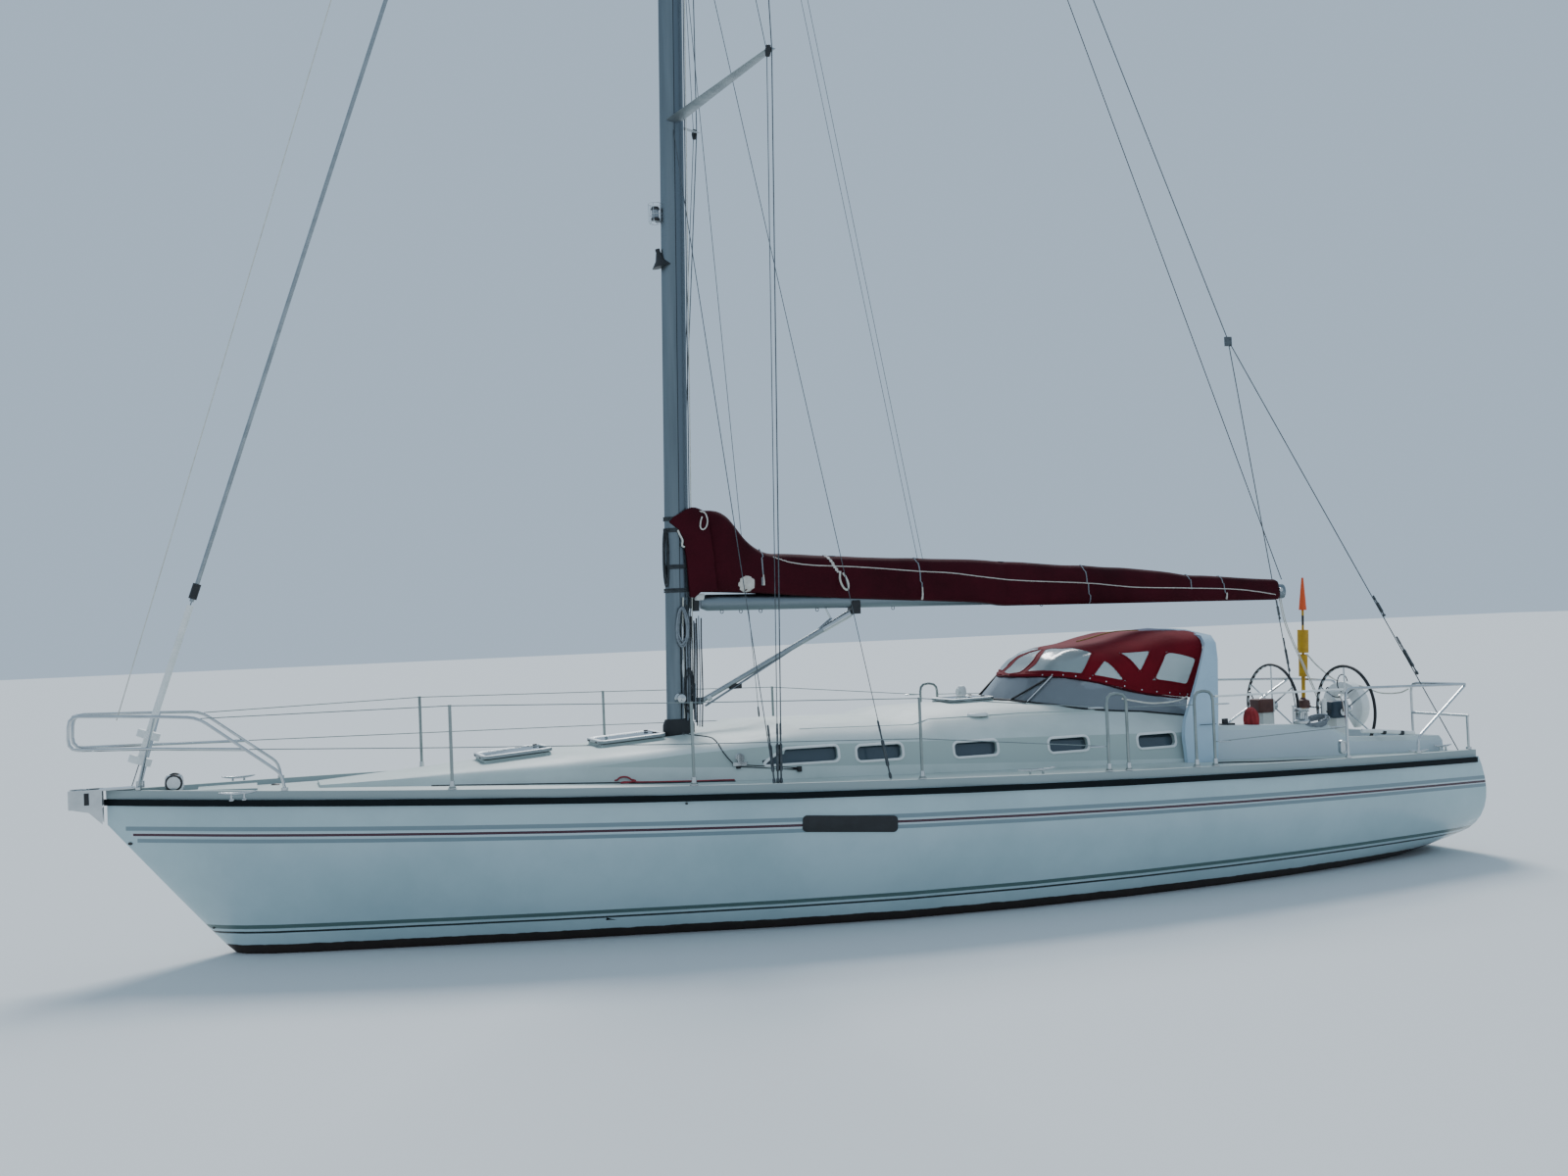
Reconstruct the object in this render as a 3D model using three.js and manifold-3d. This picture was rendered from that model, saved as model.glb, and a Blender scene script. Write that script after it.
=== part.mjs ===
// Sailing yacht of about 11.8 m, afloat: one closed mesh for each real piece, in millimetres, +Z up.
// Bow towards -X, starboard towards +Y, z = 0 at the waterline, origin amidships on the centreline.
import * as THREE from 'three';
import { mergeVertices } from 'three/addons/utils/BufferGeometryUtils.js';
import Module from 'manifold-3d';

const wasm = await Module();
wasm.setup();

// Driving dimensions of the hull.
const bowX = -5880;
const sternX = 5790;
const hullLength = sternX - bowX;
const beam = 3740;
const bowFreeboard = 1312;
const midFreeboard = 1128;
const sternFreeboard = 957;
const stemKnuckle = 1060; // height where the plumb stem head turns into the raked stem
const stemOverhang = 865; // from the stem head aft to where the stem meets the water
const bodyDepth = 520; // hull without its keel, below the water
const bodyCurve = 2.6; // how full the bottom's profile is
const foreReach = 5684; // where the bottom's curve would meet the water, forward
const aftReach = 5500; // and aft
const forefootRound = 150;
const widestAt = 0.62; // share of the length from the bow
const bowFullness = 2.1;
const sternTaper = 0.30;
const sternFullness = 1.8;
const transomBulge = 115;
const bulgeFrom = 4400; // the stations aft of this one bow outwards
const bulwarkHeight = 62; // toe rail and deck edge, above the hull's own top
const railWidth = 50;
const railHeight = 45; // toe rail above the side deck
const deckCamber = 70;
const gap = 0.3; // between neighbours that rest on each other

// Driving dimensions of what stands on the hull.
const coachroofAft = 2950;
const shellThickness = 40;
const cockpitFore = 2990;
const cockpitAft = 5620;
const tubHalfWidth = 1000;
const soleZ = 450;
const seatZ = 880;
const mastFoot = new THREE.Vector3(-1390, 0, 1560);
const mastHead = new THREE.Vector3(-960, 0, 17200);
const mastLong = 210; // fore and aft
const mastWide = 125;
const houndsZ = 14900;
const boomPinX = -1205;
const boomZ = 2570;
const boomEnd = 4740;
const boomEndZ = 2485;
const boomHigh = 140;
const boomWide = 110;
const wheelRadius = 410;
const wheelX = 4970;
const wheelZ = 1340;
const wheelY = 560;
const keelDepth = 1950;
const rudderX = 4700;
const stayRadius = 5;
const wireRadius = 4;
const railTube = 12.5;
const railTop = 620; // guard rail above the toe rail

// Section shape by station: x, how round it is near the sheer, how flat the floor is.
const sectionShape = [
  [bowX, 1.4, 1.3],
  [-4600, 1.75, 1.6],
  [-3400, 1.85, 1.55],
  [-1700, 2.1, 1.6],
  [200, 2.5, 2.15],
  [2500, 2.75, 2.15],
  [3500, 2.8, 2.45],
  [4700, 3.1, 2.9],
  [sternX, 3.8, 4.0],
];

function between(table, x) {
  let i = 1;
  while (i < table.length - 1 && table[i][0] < x) i += 1;
  const [p, q] = [table[i - 1], table[i]];
  const t = Math.min(1, Math.max(0, (x - p[0]) / (q[0] - p[0])));
  return p.map((value, k) => value + t * (q[k] - value));
}

// Heights at the bow, amidships and the stern joined by a parabola.
function alongSheer(x) {
  const t = (x - bowX) / hullLength;
  const fore = bowFreeboard * (1 - t) * (1 - 2 * t);
  return fore + midFreeboard * 4 * t * (1 - t) + sternFreeboard * t * (2 * t - 1);
}

function halfBeamAt(x) {
  const t = Math.min(1, Math.max(0, (x - bowX) / hullLength));
  if (t < widestAt) return (beam / 2) * (1 - (1 - t / widestAt) ** bowFullness);
  return (beam / 2) * (1 - sternTaper * ((t - widestAt) / (1 - widestAt)) ** sternFullness);
}

// Centreline profile: the raked stem rounded into the bottom's curve.
function keelLineAt(x) {
  const stem = stemKnuckle * (1 - (x - bowX) / stemOverhang);
  const reach = x < 0 ? foreReach : aftReach;
  const bottom = -bodyDepth * (1 - Math.abs(x / reach) ** bodyCurve);
  return (stem + bottom + Math.hypot(stem - bottom, forefootRound)) / 2;
}

// Half width at a share of the height from the keel line to the sheer.
function sectionAt(x, share) {
  const [, round, flat] = between(sectionShape, x);
  return halfBeamAt(x) * (1 - (1 - share) ** round) ** (1 / flat);
}

function hullHalfWidthAt(x, z) {
  const keel = keelLineAt(x);
  return sectionAt(x, Math.min(1, Math.max(0, (z - keel) / (alongSheer(x) - keel))));
}

function deckAt(x, y) {
  const half = Math.max(1, halfBeamAt(x));
  const crown = deckCamber * (half / (beam / 2)) * (1 - Math.min(1, (y / half) ** 2));
  return alongSheer(x) - railHeight + crown;
}

// Mesh tools: every geometry below is closed, with its faces pointing out.
function volumeOf(geometry) {
  const p = geometry.attributes.position;
  const index = geometry.index.array;
  const [a, b, c] = [new THREE.Vector3(), new THREE.Vector3(), new THREE.Vector3()];
  let sum = 0;
  for (let i = 0; i < index.length; i += 3) {
    a.fromBufferAttribute(p, index[i]);
    b.fromBufferAttribute(p, index[i + 1]);
    c.fromBufferAttribute(p, index[i + 2]);
    sum += a.dot(b.cross(c)) / 6;
  }
  return sum;
}

function indexed(vertices, faces) {
  const geometry = new THREE.BufferGeometry();
  const flat = vertices.flatMap((v) => [v.x, v.y, v.z]);
  geometry.setAttribute('position', new THREE.Float32BufferAttribute(flat, 3));
  geometry.setIndex(faces);
  if (volumeOf(geometry) < 0) {
    for (let i = 0; i < faces.length; i += 3) [faces[i], faces[i + 1]] = [faces[i + 1], faces[i]];
    geometry.setIndex(faces);
  }
  return geometry;
}

function capOf(ring) {
  const normal = new THREE.Vector3();
  ring.forEach((p, i) => normal.add(new THREE.Vector3().crossVectors(p, ring[(i + 1) % ring.length])));
  const z = normal.normalize();
  const steep = Math.abs(z.x) > 0.9;
  const x = new THREE.Vector3(steep ? 0 : 1, steep ? 1 : 0, 0).cross(z).normalize();
  const y = new THREE.Vector3().crossVectors(z, x);
  const flat = ring.map((p) => new THREE.Vector2(p.dot(x), p.dot(y)));
  return THREE.ShapeUtils.triangulateShape(flat, []);
}

// Skin over rings with the same number of points; each end is closed by cutting its outline into ears.
function loft(rings, closed = false) {
  const n = rings[0].length;
  const faces = [];
  const last = closed ? rings.length : rings.length - 1;
  for (let i = 0; i < last; i += 1) {
    const next = ((i + 1) % rings.length) * n;
    for (let j = 0; j < n; j += 1) {
      const [a, b] = [i * n + j, i * n + ((j + 1) % n)];
      const [c, d] = [next + j, next + ((j + 1) % n)];
      faces.push(a, b, d, a, d, c);
    }
  }
  if (!closed) {
    const start = (rings.length - 1) * n;
    faces.push(...capOf(rings[0]).flatMap(([a, b, c]) => [a, c, b]));
    faces.push(...capOf(rings[rings.length - 1]).flatMap(([a, b, c]) => [a + start, b + start, c + start]));
  }
  return indexed(rings.flat(), faces);
}

// Round bar or wire through points, with mitred corners.
function tube(points, radius, sides = 8, closed = false) {
  const path = points.map((p) => (p.isVector3 ? p : new THREE.Vector3(...p)));
  const n = path.length;
  const at = (i) => path[((i % n) + n) % n];
  const way = (i, j) => at(j).clone().sub(at(i)).normalize();
  let side = new THREE.Vector3();
  const rings = path.map((p, i) => {
    const before = i === 0 && !closed ? way(0, 1) : way(i - 1, i);
    const after = i === n - 1 && !closed ? before : way(i, i + 1);
    const tangent = before.clone().add(after).normalize();
    if (i === 0) side = new THREE.Vector3(0, Math.abs(before.z) > 0.9 ? 1 : 0, Math.abs(before.z) > 0.9 ? 0 : 1);
    side.sub(before.clone().multiplyScalar(side.dot(before))).normalize();
    const other = new THREE.Vector3().crossVectors(before, side);
    return Array.from({ length: sides }, (_, k) => {
      const angle = (2 * Math.PI * (k + 0.5)) / sides;
      const offset = side.clone().multiplyScalar(Math.cos(angle)).addScaledVector(other, Math.sin(angle));
      offset.multiplyScalar(radius);
      // slide along the incoming run until the point lies in the plane that halves the corner
      offset.addScaledVector(before, -offset.dot(tangent) / before.dot(tangent));
      return p.clone().add(offset);
    });
  });
  return loft(rings, closed);
}

// Points with each inner corner rounded by a curve of the given number of steps.
function rounded(points, radius, steps = 3) {
  const path = points.map((p) => new THREE.Vector3(...p));
  const out = [path[0]];
  for (let i = 1; i < path.length - 1; i += 1) {
    const [a, b, c] = [path[i - 1], path[i], path[i + 1]];
    const reach = Math.min(radius, a.distanceTo(b) / 2.2, b.distanceTo(c) / 2.2);
    const from = b.clone().lerp(a, reach / a.distanceTo(b));
    const to = b.clone().lerp(c, reach / b.distanceTo(c));
    for (let k = 0; k <= steps; k += 1) {
      const t = k / steps;
      const point = from.clone().multiplyScalar((1 - t) ** 2);
      out.push(point.addScaledVector(b, 2 * t * (1 - t)).addScaledVector(to, t * t));
    }
  }
  out.push(path[path.length - 1]);
  return out;
}

function box(x0, x1, y0, y1, z0, z1) {
  const geometry = new THREE.BoxGeometry(x1 - x0, y1 - y0, z1 - z0);
  return geometry.translate((x0 + x1) / 2, (y0 + y1) / 2, (z0 + z1) / 2);
}

// Rod from one point to another, with its own radius at each end.
function rod(from, to, radius, endRadius = radius, sides = 16) {
  const [a, b] = [new THREE.Vector3(...from), new THREE.Vector3(...to)];
  const geometry = new THREE.CylinderGeometry(endRadius, radius, a.distanceTo(b), sides);
  const way = b.clone().sub(a).normalize();
  geometry.applyQuaternion(new THREE.Quaternion().setFromUnitVectors(new THREE.Vector3(0, 1, 0), way));
  return geometry.translate((a.x + b.x) / 2, (a.y + b.y) / 2, (a.z + b.z) / 2);
}

function roundedRectangle(x0, x1, y0, y1, radius, lean = 0) {
  const shape = new THREE.Shape();
  const quarter = Math.PI / 2;
  shape.absarc(x1 - radius, y0 + radius, radius, -quarter, 0);
  shape.absarc(x1 - radius, y1 - radius, radius, 0, quarter);
  shape.absarc(x0 + radius + lean, y1 - radius, radius, quarter, 2 * quarter);
  shape.absarc(x0 + radius, y0 + radius, radius, 2 * quarter, 3 * quarter);
  return shape;
}

// Plate with rounded corners in X and Z, standing across Y.
function roundedPlate(x0, x1, z0, z1, radius, y0, y1, lean) {
  const shape = roundedRectangle(x0, x1, z0, z1, radius, lean);
  const geometry = new THREE.ExtrudeGeometry(shape, { depth: y1 - y0, bevelEnabled: false, curveSegments: 4 });
  return geometry.rotateX(Math.PI / 2).translate(0, y1, 0);
}

function solid(geometry) {
  const bare = geometry.clone();
  bare.deleteAttribute('normal');
  bare.deleteAttribute('uv');
  const merged = mergeVertices(bare, 0.001);
  const index = Array.from(merged.index.array);
  const kept = [];
  for (let i = 0; i < index.length; i += 3) {
    const [a, b, c] = index.slice(i, i + 3);
    if (a !== b && b !== c && a !== c) kept.push(a, b, c);
  }
  const vertProperties = new Float32Array(merged.attributes.position.array);
  return new wasm.Manifold(new wasm.Mesh({ numProp: 3, vertProperties, triVerts: new Uint32Array(kept) }));
}

function geometryOf(manifold) {
  const { vertProperties, triVerts } = manifold.getMesh();
  const geometry = new THREE.BufferGeometry();
  geometry.setAttribute('position', new THREE.BufferAttribute(new Float32Array(vertProperties), 3));
  geometry.setIndex(new THREE.BufferAttribute(new Uint32Array(triVerts), 1));
  return geometry;
}

const join = (...geometries) => geometries.map(solid).reduce((sum, next) => sum.add(next));
const cut = (body, ...geometries) => geometries.map(solid).reduce((rest, next) => rest.subtract(next), body);

// Finishes: colour, roughness, metalness.
const finishes = {
  gelcoat: ['#dfe6e6', 0.25, 0],
  deck: ['#dcdfd8', 0.6, 0],
  strake: ['#1d3136', 0.5, 0],
  iron: ['#3a2b28', 0.8, 0],
  steel: ['#c3c8ca', 0.25, 1],
  alloy: ['#a9aeb0', 0.4, 1],
  canvas: ['#6d1327', 0.9, 0],
  glass: ['#55636a', 0.05, 0],
  teak: ['#8b6844', 0.7, 0],
  bronze: ['#8e7440', 0.4, 1],
  black: ['#1b1c1e', 0.6, 0],
  white: ['#e8e9e4', 0.5, 0],
  yellow: ['#d9c21c', 0.6, 0],
  engine: ['#7d8284', 0.5, 0.3],
};

const yacht = new THREE.Group();
yacht.name = 'sailing_yacht';

function add(name, shape, finish) {
  const [color, roughness, metalness] = finishes[finish];
  const geometry = shape.isBufferGeometry ? shape : geometryOf(shape);
  const mesh = new THREE.Mesh(geometry, new THREE.MeshStandardMaterial({ color, roughness, metalness }));
  mesh.name = name;
  yacht.add(mesh);
}

const ringAt = (x, pairs) => pairs.map(([y, z]) => new THREE.Vector3(x, y, z));
const withPort = (right) => [...right, ...right.map(([y, z]) => [-y, z]).reverse()];
const sides = [['port', -1], ['starboard', 1]];

// Hull: sections from the keel line up to under the deck moulding.
const hullStations = [
  -5868, -5815, -5700, -5550, -5380, -5200, -5050, -4900, -4700, -4400, -4000, -3400, -2700, -1900,
  -1000, 0, 1000, 2000, 2900, 3700, 4400, 4800, 5150, 5450, 5650, sternX,
];
const sidePoints = 12;
const pointBunching = 1.7; // more points low down, where the section turns
const stemHalfWidth = 6;
const bulgeMiddle = 0.45; // share of the height where the transom reaches furthest aft

function hullRing(x, shrink = 1, push = 0, grow = 0) {
  const keel = keelLineAt(x);
  const high = alongSheer(x) - keel;
  const top = (high - bulwarkHeight / 2) / high;
  const aft = (Math.max(0, x - bulgeFrom) / (sternX - bulgeFrom)) ** 2;
  const half = Array.from({ length: sidePoints + 1 }, (_, j) => {
    const share = top * (j / sidePoints) ** pointBunching;
    const bulge = transomBulge * aft * (1 - ((share - bulgeMiddle) / (1 - bulgeMiddle)) ** 2);
    const wide = Math.max(sectionAt(x, share) * shrink, j === 0 ? 0 : stemHalfWidth);
    const rise = (1 - share) * ((1 - shrink) * 400 - grow);
    return new THREE.Vector3(x + bulge + push, wide + (j === 0 ? 0 : grow), keel + share * high + rise);
  });
  const port = half.slice(1).reverse().map((p) => new THREE.Vector3(p.x, -p.y, p.z));
  return [...port, ...half];
}

// The transom closes over two smaller rings: shrink, push.
const transomRings = [[0.985, 14], [0.93, 24]];

// Deck moulding: side decks, foredeck and toe rail in one, over the whole hull.
const deckStations = [
  -5872, -5800, -5650, -5400, -5100, -4700, -4200, -3600, -2900, -2100, -1200,
  -200, 800, 1800, 2800, 3700, 4500, 5200, sternX,
];

// Right half of the deck's upper outline, from the rail's outer edge to the middle.
function deckEdge(x, lift = 0) {
  const half = Math.max(20, halfBeamAt(x));
  const rail = Math.min(railWidth, half * 0.35);
  const inner = half - rail - Math.min(12, half * 0.05);
  const top = alongSheer(x) + lift;
  const across = [1, 0.75, 0.4].map((share) => [inner * share, deckAt(x, inner * share) + lift]);
  return [[half, top], [half - rail, top], ...across];
}

function deckRing(x) {
  const edge = deckEdge(x);
  return ringAt(x, withPort([[edge[0][0], alongSheer(x) - bulwarkHeight], ...edge]));
}

// Everything above the deck moulding's underside, to trim the hull under it.
const aboveHull = loft([bowX - 300, ...deckStations, sternX + 400].map((x) => {
  const z = alongSheer(x) - bulwarkHeight - gap;
  return ringAt(x, withPort([[2500, z], [2500, 2000]]));
}));

// Block that fills everything under the deck's surface, to trim what stands on it.
function belowDeck(lift) {
  return loft(deckStations.map((x) => {
    const edge = deckEdge(x, lift);
    const out = edge[0][0] + 200;
    return ringAt(x, withPort([[out, -600], [out, edge[0][1]], ...edge.slice(1)]));
  }));
}

// Wells for the cabin and the cockpit: x from, to, half width, z from, to.
const wells = [
  [-3300, -2300, 500, 150, 1400],
  [-2300, 1500, 1050, 150, 1400],
  [-2200, 2700, 380, -330, 1400],
  [1500, 2700, 1050, 250, 1400],
  [cockpitFore, cockpitAft + 1, tubHalfWidth + 1, soleZ - 50 - gap, 1400],
];
const hullRings = hullStations.map((x) => hullRing(x));
for (const [shrink, push] of transomRings) hullRings.push(hullRing(sternX, shrink, push));
let hull = solid(loft(hullRings)).subtract(solid(aboveHull));
for (const [x0, x1, half, z0, z1] of wells) hull = cut(hull, box(x0, x1, -half, half, z0, z1));
// The hull's outer surface, let out by the working gap, to trim what is fixed to it.
const hullSkin = loft(hullStations.map((x) => hullRing(x, 1, 0, 2 * gap)));

// Coachroof by station: x, half width at the deck, height on the centreline, height of the shoulder.
const roofTable = [
  [-4330, 260, 1268, 1256],
  [-3400, 560, 1325, 1285],
  [-2500, 830, 1390, 1325],
  [-1600, 1080, 1445, 1410],
  [-900, 1190, 1516, 1440],
  [-770, 1195.8, 1556, 1435.7],
  [-450, 1210, 1553, 1425],
  [200, 1240, 1535, 1404],
  [380, 1242, 1530, 1399],
  [520, 1243, 1592, 1396],
  [1400, 1250, 1610, 1372],
  [coachroofAft, 1190, 1610, 1315],
];
const shoulderWide = 100;

// Right half of the roof's outline, from the shoulder up to the ridge.
function roofEdge(x, inset = 0) {
  const [, wide, ridge, shoulder] = between(roofTable, x);
  const w = wide - inset;
  const edge = Math.min(shoulderWide, w * 0.15);
  const rise = ridge - shoulder;
  const crown = [[0.8, 0.5], [0.58, 0.22], [0.3, 0.05], [0, 0]];
  const low = [[w - edge / 2, shoulder - 35 - inset], [w - edge, shoulder + 5 - inset]];
  return [...low, ...crown.map(([share, drop]) => [w * share, ridge - rise * drop - inset])];
}

function roofRing(x, inset) {
  const w = between(roofTable, x)[1] - inset;
  const right = [[w, 700], [w, deckAt(x, w) - 20], ...roofEdge(x, inset)];
  return ringAt(x, [...right, ...right.slice(0, -1).map(([y, z]) => [-y, z]).reverse()]);
}

function roofAt(x, y) {
  return between(roofEdge(x).reverse(), Math.abs(y))[1];
}

const roofOuter = loft(roofTable.map(([x]) => roofRing(x, 0)));
const roofGrown = loft(roofTable.map(([x]) => roofRing(x, -gap)));
const innerStations = [-3300, -2500, -1600, -900, -770, -450, 200, 380, 520, 1400, coachroofAft - shellThickness];
const roofInner = loft(innerStations.map((x) => roofRing(x, shellThickness)));

// Cabin windows by place along the side: x from, x to, z from, z to, lean of the front edge.
const windowTable = [
  [-1030, -405, 1258, 1372, 180],
  [-245, 140, 1243, 1358, 0],
  [600, 985, 1220, 1333, 0],
  [1465, 1840, 1203, 1312, 0],
  [2335, 2710, 1180, 1290, 0],
];
const windowCorner = 35;

// Roof hatches: name, x from, x to, half width, height of the raised frame, lid's underside above the roof, its thickness.
const hatchTable = [
  ['fore_hatch_lid', -3080, -2520, 270, 17, 24, 25],
  ['mast_hatch_lid', -2130, -1570, 270, 17, 24, 25],
  ['saloon_hatch_lid', 1050, 1468, 240, 4, 10, 18],
];
const frameWide = 35;
const frameInset = 12;
const lidThick = 25;
const lidCorner = 60;

// Moves a piece made along +X from the origin on to the roof's slope at a hatch.
function onRoofSlope(geometry, x0, x1) {
  const [z0, z1] = [roofAt(x0, 0), roofAt(x1, 0)];
  return geometry.rotateY(-Math.atan2(z1 - z0, x1 - x0)).translate(x0, 0, z0);
}

const companionHalf = 300;
const companionX = 2250;
const doorLow = 980;

let roof = solid(roofOuter).subtract(solid(roofInner));
for (const [, x0, x1, half, frameHigh] of hatchTable) {
  const frame = box(frameInset, x1 - x0 - frameInset, frameInset - half, half - frameInset, -20, frameHigh);
  roof = roof.add(solid(onRoofSlope(frame, x0, x1)));
}
roof = roof.subtract(solid(belowDeck(gap)));
for (const [x0, x1, z0, z1, lean] of windowTable) {
  for (const [, side] of sides) {
    const [near, far] = [side * 900, side * 1400].sort((a, b) => a - b);
    roof = cut(roof, roundedPlate(x0, x1, z0, z1, windowCorner, near, far, lean));
  }
}
for (const [, x0, x1, half] of hatchTable) {
  const inset = frameInset + frameWide;
  roof = cut(roof, box(x0 + inset, x1 - inset, inset - half, half - inset, 1000, 1800));
}
roof = cut(
  roof,
  box(companionX, coachroofAft + 50, -companionHalf, companionHalf, 1300, 1800),
  box(coachroofAft - 100, coachroofAft + 50, -companionHalf, companionHalf, doorLow, 1400),
);
add('coachroof', roof, 'gelcoat');

const underRoof = loft([-3250, -2500, -1600, -900, 200, 1400, 2700].map((x) => {
  const w = between(roofTable, x)[1] - 120;
  return ringAt(x, withPort([[w, 600], [w, 1500]]));
}));
const overTub = box(cockpitFore, cockpitAft + 1, -tubHalfWidth - 1, tubHalfWidth + 1, 500, 1500);
add('deck', cut(solid(loft(deckStations.map(deckRing))), underRoof, overTub), 'deck');

// Rubbing strake: a half-round bar let in along each side, the two joined round the stem head.
const strakeStations = [
  -5600, -5200, -4700, -4000, -3200, -2200, -1000, 400, 1800, 3200, 4400, 5300, sternX - 20,
];
const strakeDrop = 90; // from the toe rail's top to the strake's middle
// Section of the bar: out from the hull's side, up from its middle.
const strakeSection = [[-30, -24], [14, -24], [24, 0], [14, 24], [-30, 24]];
const strakeSide = strakeStations.map((x) => {
  const z = alongSheer(x) - strakeDrop;
  return [x, hullHalfWidthAt(x, z), z];
});
const strakePath = [
  ...strakeSide.slice().reverse().map(([x, y, z]) => [x, -y, z]),
  [bowX + 20, 0, bowFreeboard - strakeDrop],
  ...strakeSide,
];
const strakeBody = strakePath.map(([x, y, z], i) => {
  const before = strakePath[Math.max(0, i - 1)];
  const after = strakePath[Math.min(strakePath.length - 1, i + 1)];
  const out = new THREE.Vector3(after[1] - before[1], before[0] - after[0], 0).normalize();
  return strakeSection.map(([reach, rise]) => new THREE.Vector3(x, y, z + rise).addScaledVector(out, reach));
});
add('rubbing_strake', solid(loft(strakeBody)).subtract(solid(hullSkin)), 'strake');

// Foil section on plan: x of the leading edge, chord, thickness, height.
function foilRing(x, chord, thick, z) {
  const steps = 6;
  const side = Array.from({ length: steps + 1 }, (_, i) => {
    const t = (1 - Math.cos((Math.PI * i) / steps)) / 2;
    const half = thick * 1.3 * (Math.sqrt(t) * 1.1 - 0.55 * t - 0.5 * t * t);
    return [x + chord * t, Math.max(i === 0 ? 0 : 2, half)];
  });
  const top = side.map(([px, h]) => new THREE.Vector3(px, h, z));
  const low = side.slice(1).reverse().map(([px, h]) => new THREE.Vector3(px, -h, z));
  return [...top, ...low];
}

// Keel: iron fin with a bulb. Bulb by station: radius, distance from its nose.
const keelFin = loft([
  foilRing(-980, 2050, 115, -keelDepth + 150),
  foilRing(-1060, 2350, 130, -900),
  foilRing(-1150, 2750, 150, -400),
]);
const bulbTable = [[0, 0], [70, 60], [120, 260], [138, 700], [130, 1300], [80, 2000], [0, 2450]];
const bulb = new THREE.LatheGeometry(bulbTable.map(([r, t]) => new THREE.Vector2(r, t)), 12);
bulb.rotateZ(-Math.PI / 2).translate(-1200, 0, -keelDepth + 140);
add('keel', join(keelFin, bulb).subtract(solid(hullSkin)), 'iron');

// Rudder: spade blade on a stock that turns in a tube through the hull.
const stockTop = 380;
const stockRadius = 32;
const rudderBlade = loft([
  foilRing(rudderX - 130, 520, 55, -1620),
  foilRing(rudderX - 170, 690, 75, -900),
  foilRing(rudderX - 190, 760, 85, -290),
]);
const stock = rod([rudderX, 0, -400], [rudderX, 0, stockTop], stockRadius, stockRadius, 12);
const stockBore = rod([rudderX, 0, -600], [rudderX, 0, stockTop + 20], stockRadius + 6, stockRadius + 6, 12);
add('rudder', join(rudderBlade, stock), 'iron');
hull = cut(hull, stockBore);

// Drive leg under the engine, and its propeller.
const legX = 2250;
const legZ = -780;
const driveLeg = join(
  loft([foilRing(legX - 190, 330, 60, legZ + 20), foilRing(legX - 200, 340, 70, -300)]),
  rod([legX - 230, 0, legZ], [legX + 184, 0, legZ], 40, 60, 16),
);
add('sail_drive', driveLeg.subtract(solid(hullSkin)), 'iron');
const bladeCount = 3;
const hubX = legX + 190;
const hubLong = 110;
// Blade by radius: distance out, half chord, twist in radians.
const bladeTable = [[30, 24, 0.9], [110, 62, 0.7], [170, 60, 0.5], [205, 30, 0.4]];
const bladeHalf = 3;
const bladeRings = bladeTable.map(([r, half, twist]) => {
  const [c, s] = [Math.cos(twist), Math.sin(twist)];
  const corners = [[-half, -bladeHalf], [half, -bladeHalf], [half, bladeHalf], [-half, bladeHalf]];
  return corners.map(([u, v]) => new THREE.Vector3(hubX + hubLong / 2 + u * s + v * c, u * c - v * s, r));
});
let screw = solid(rod([hubX, 0, 0], [hubX + hubLong, 0, 0], 52, 30, 18));
for (let i = 0; i < bladeCount; i += 1) {
  const turn = new THREE.Matrix4().makeRotationX((2 * Math.PI * i) / bladeCount);
  screw = screw.add(solid(loft(bladeRings).applyMatrix4(turn)));
}
add('propeller', geometryOf(screw).translate(0, 0, legZ), 'bronze');
add('engine', box(1750, 2550, -240, 240, -200, 400), 'engine');
add('hull', hull, 'gelcoat');

// Cockpit moulding: coamings above the deck, and a tub with a footwell, seats and a helm well.
// Coaming by station: x, half width at the deck, height of its top.
const coamingTable = [
  [coachroofAft + gap, 1190, 1330],
  [4350, 1130, 1262],
  [4620, 1100, 1130],
  [cockpitAft + 60, 1040, 1075],
];
const coamingWide = 190;
const coaming = loft(coamingTable.map(([x, half, top]) => (
  ringAt(x, withPort([[half, 700], [half - 30, top - 40], [half - 70, top], [half - coamingWide, top]]))
)));
const footX = [3080, 4450];
const helmX = [4450, 5300];
const seatBack = 960;
const footHalf = 400;
const open = 1600;
let cockpit = solid(coaming).subtract(solid(belowDeck(gap)));
cockpit = cockpit.add(solid(box(cockpitFore + gap, cockpitAft, -tubHalfWidth, tubHalfWidth, soleZ - 50, 1060)));
cockpit = cut(
  cockpit,
  box(footX[0], footX[1], -seatBack, seatBack, seatZ, open),
  box(footX[0], footX[1], -footHalf, footHalf, soleZ, open),
  box(helmX[0], helmX[1], -seatBack, seatBack, soleZ, open),
  box(helmX[1] - 1, cockpitAft - 60, -seatBack, seatBack, seatZ, open),
);
add('cockpit', cockpit, 'gelcoat');

// Lids in the cockpit seats, hinged along their outer edges.
const seatLidX = [3250, 4250];
const seatLidY = [430, 930];
for (const [sideName, side] of sides) {
  const [y0, y1] = seatLidY.map((y) => side * y).sort((a, b) => a - b);
  const lid = box(seatLidX[0], seatLidX[1], y0, y1, seatZ + gap, seatZ + lidThick);
  add(`seat_locker_lid_${sideName}`, lid, 'teak');
}

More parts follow.
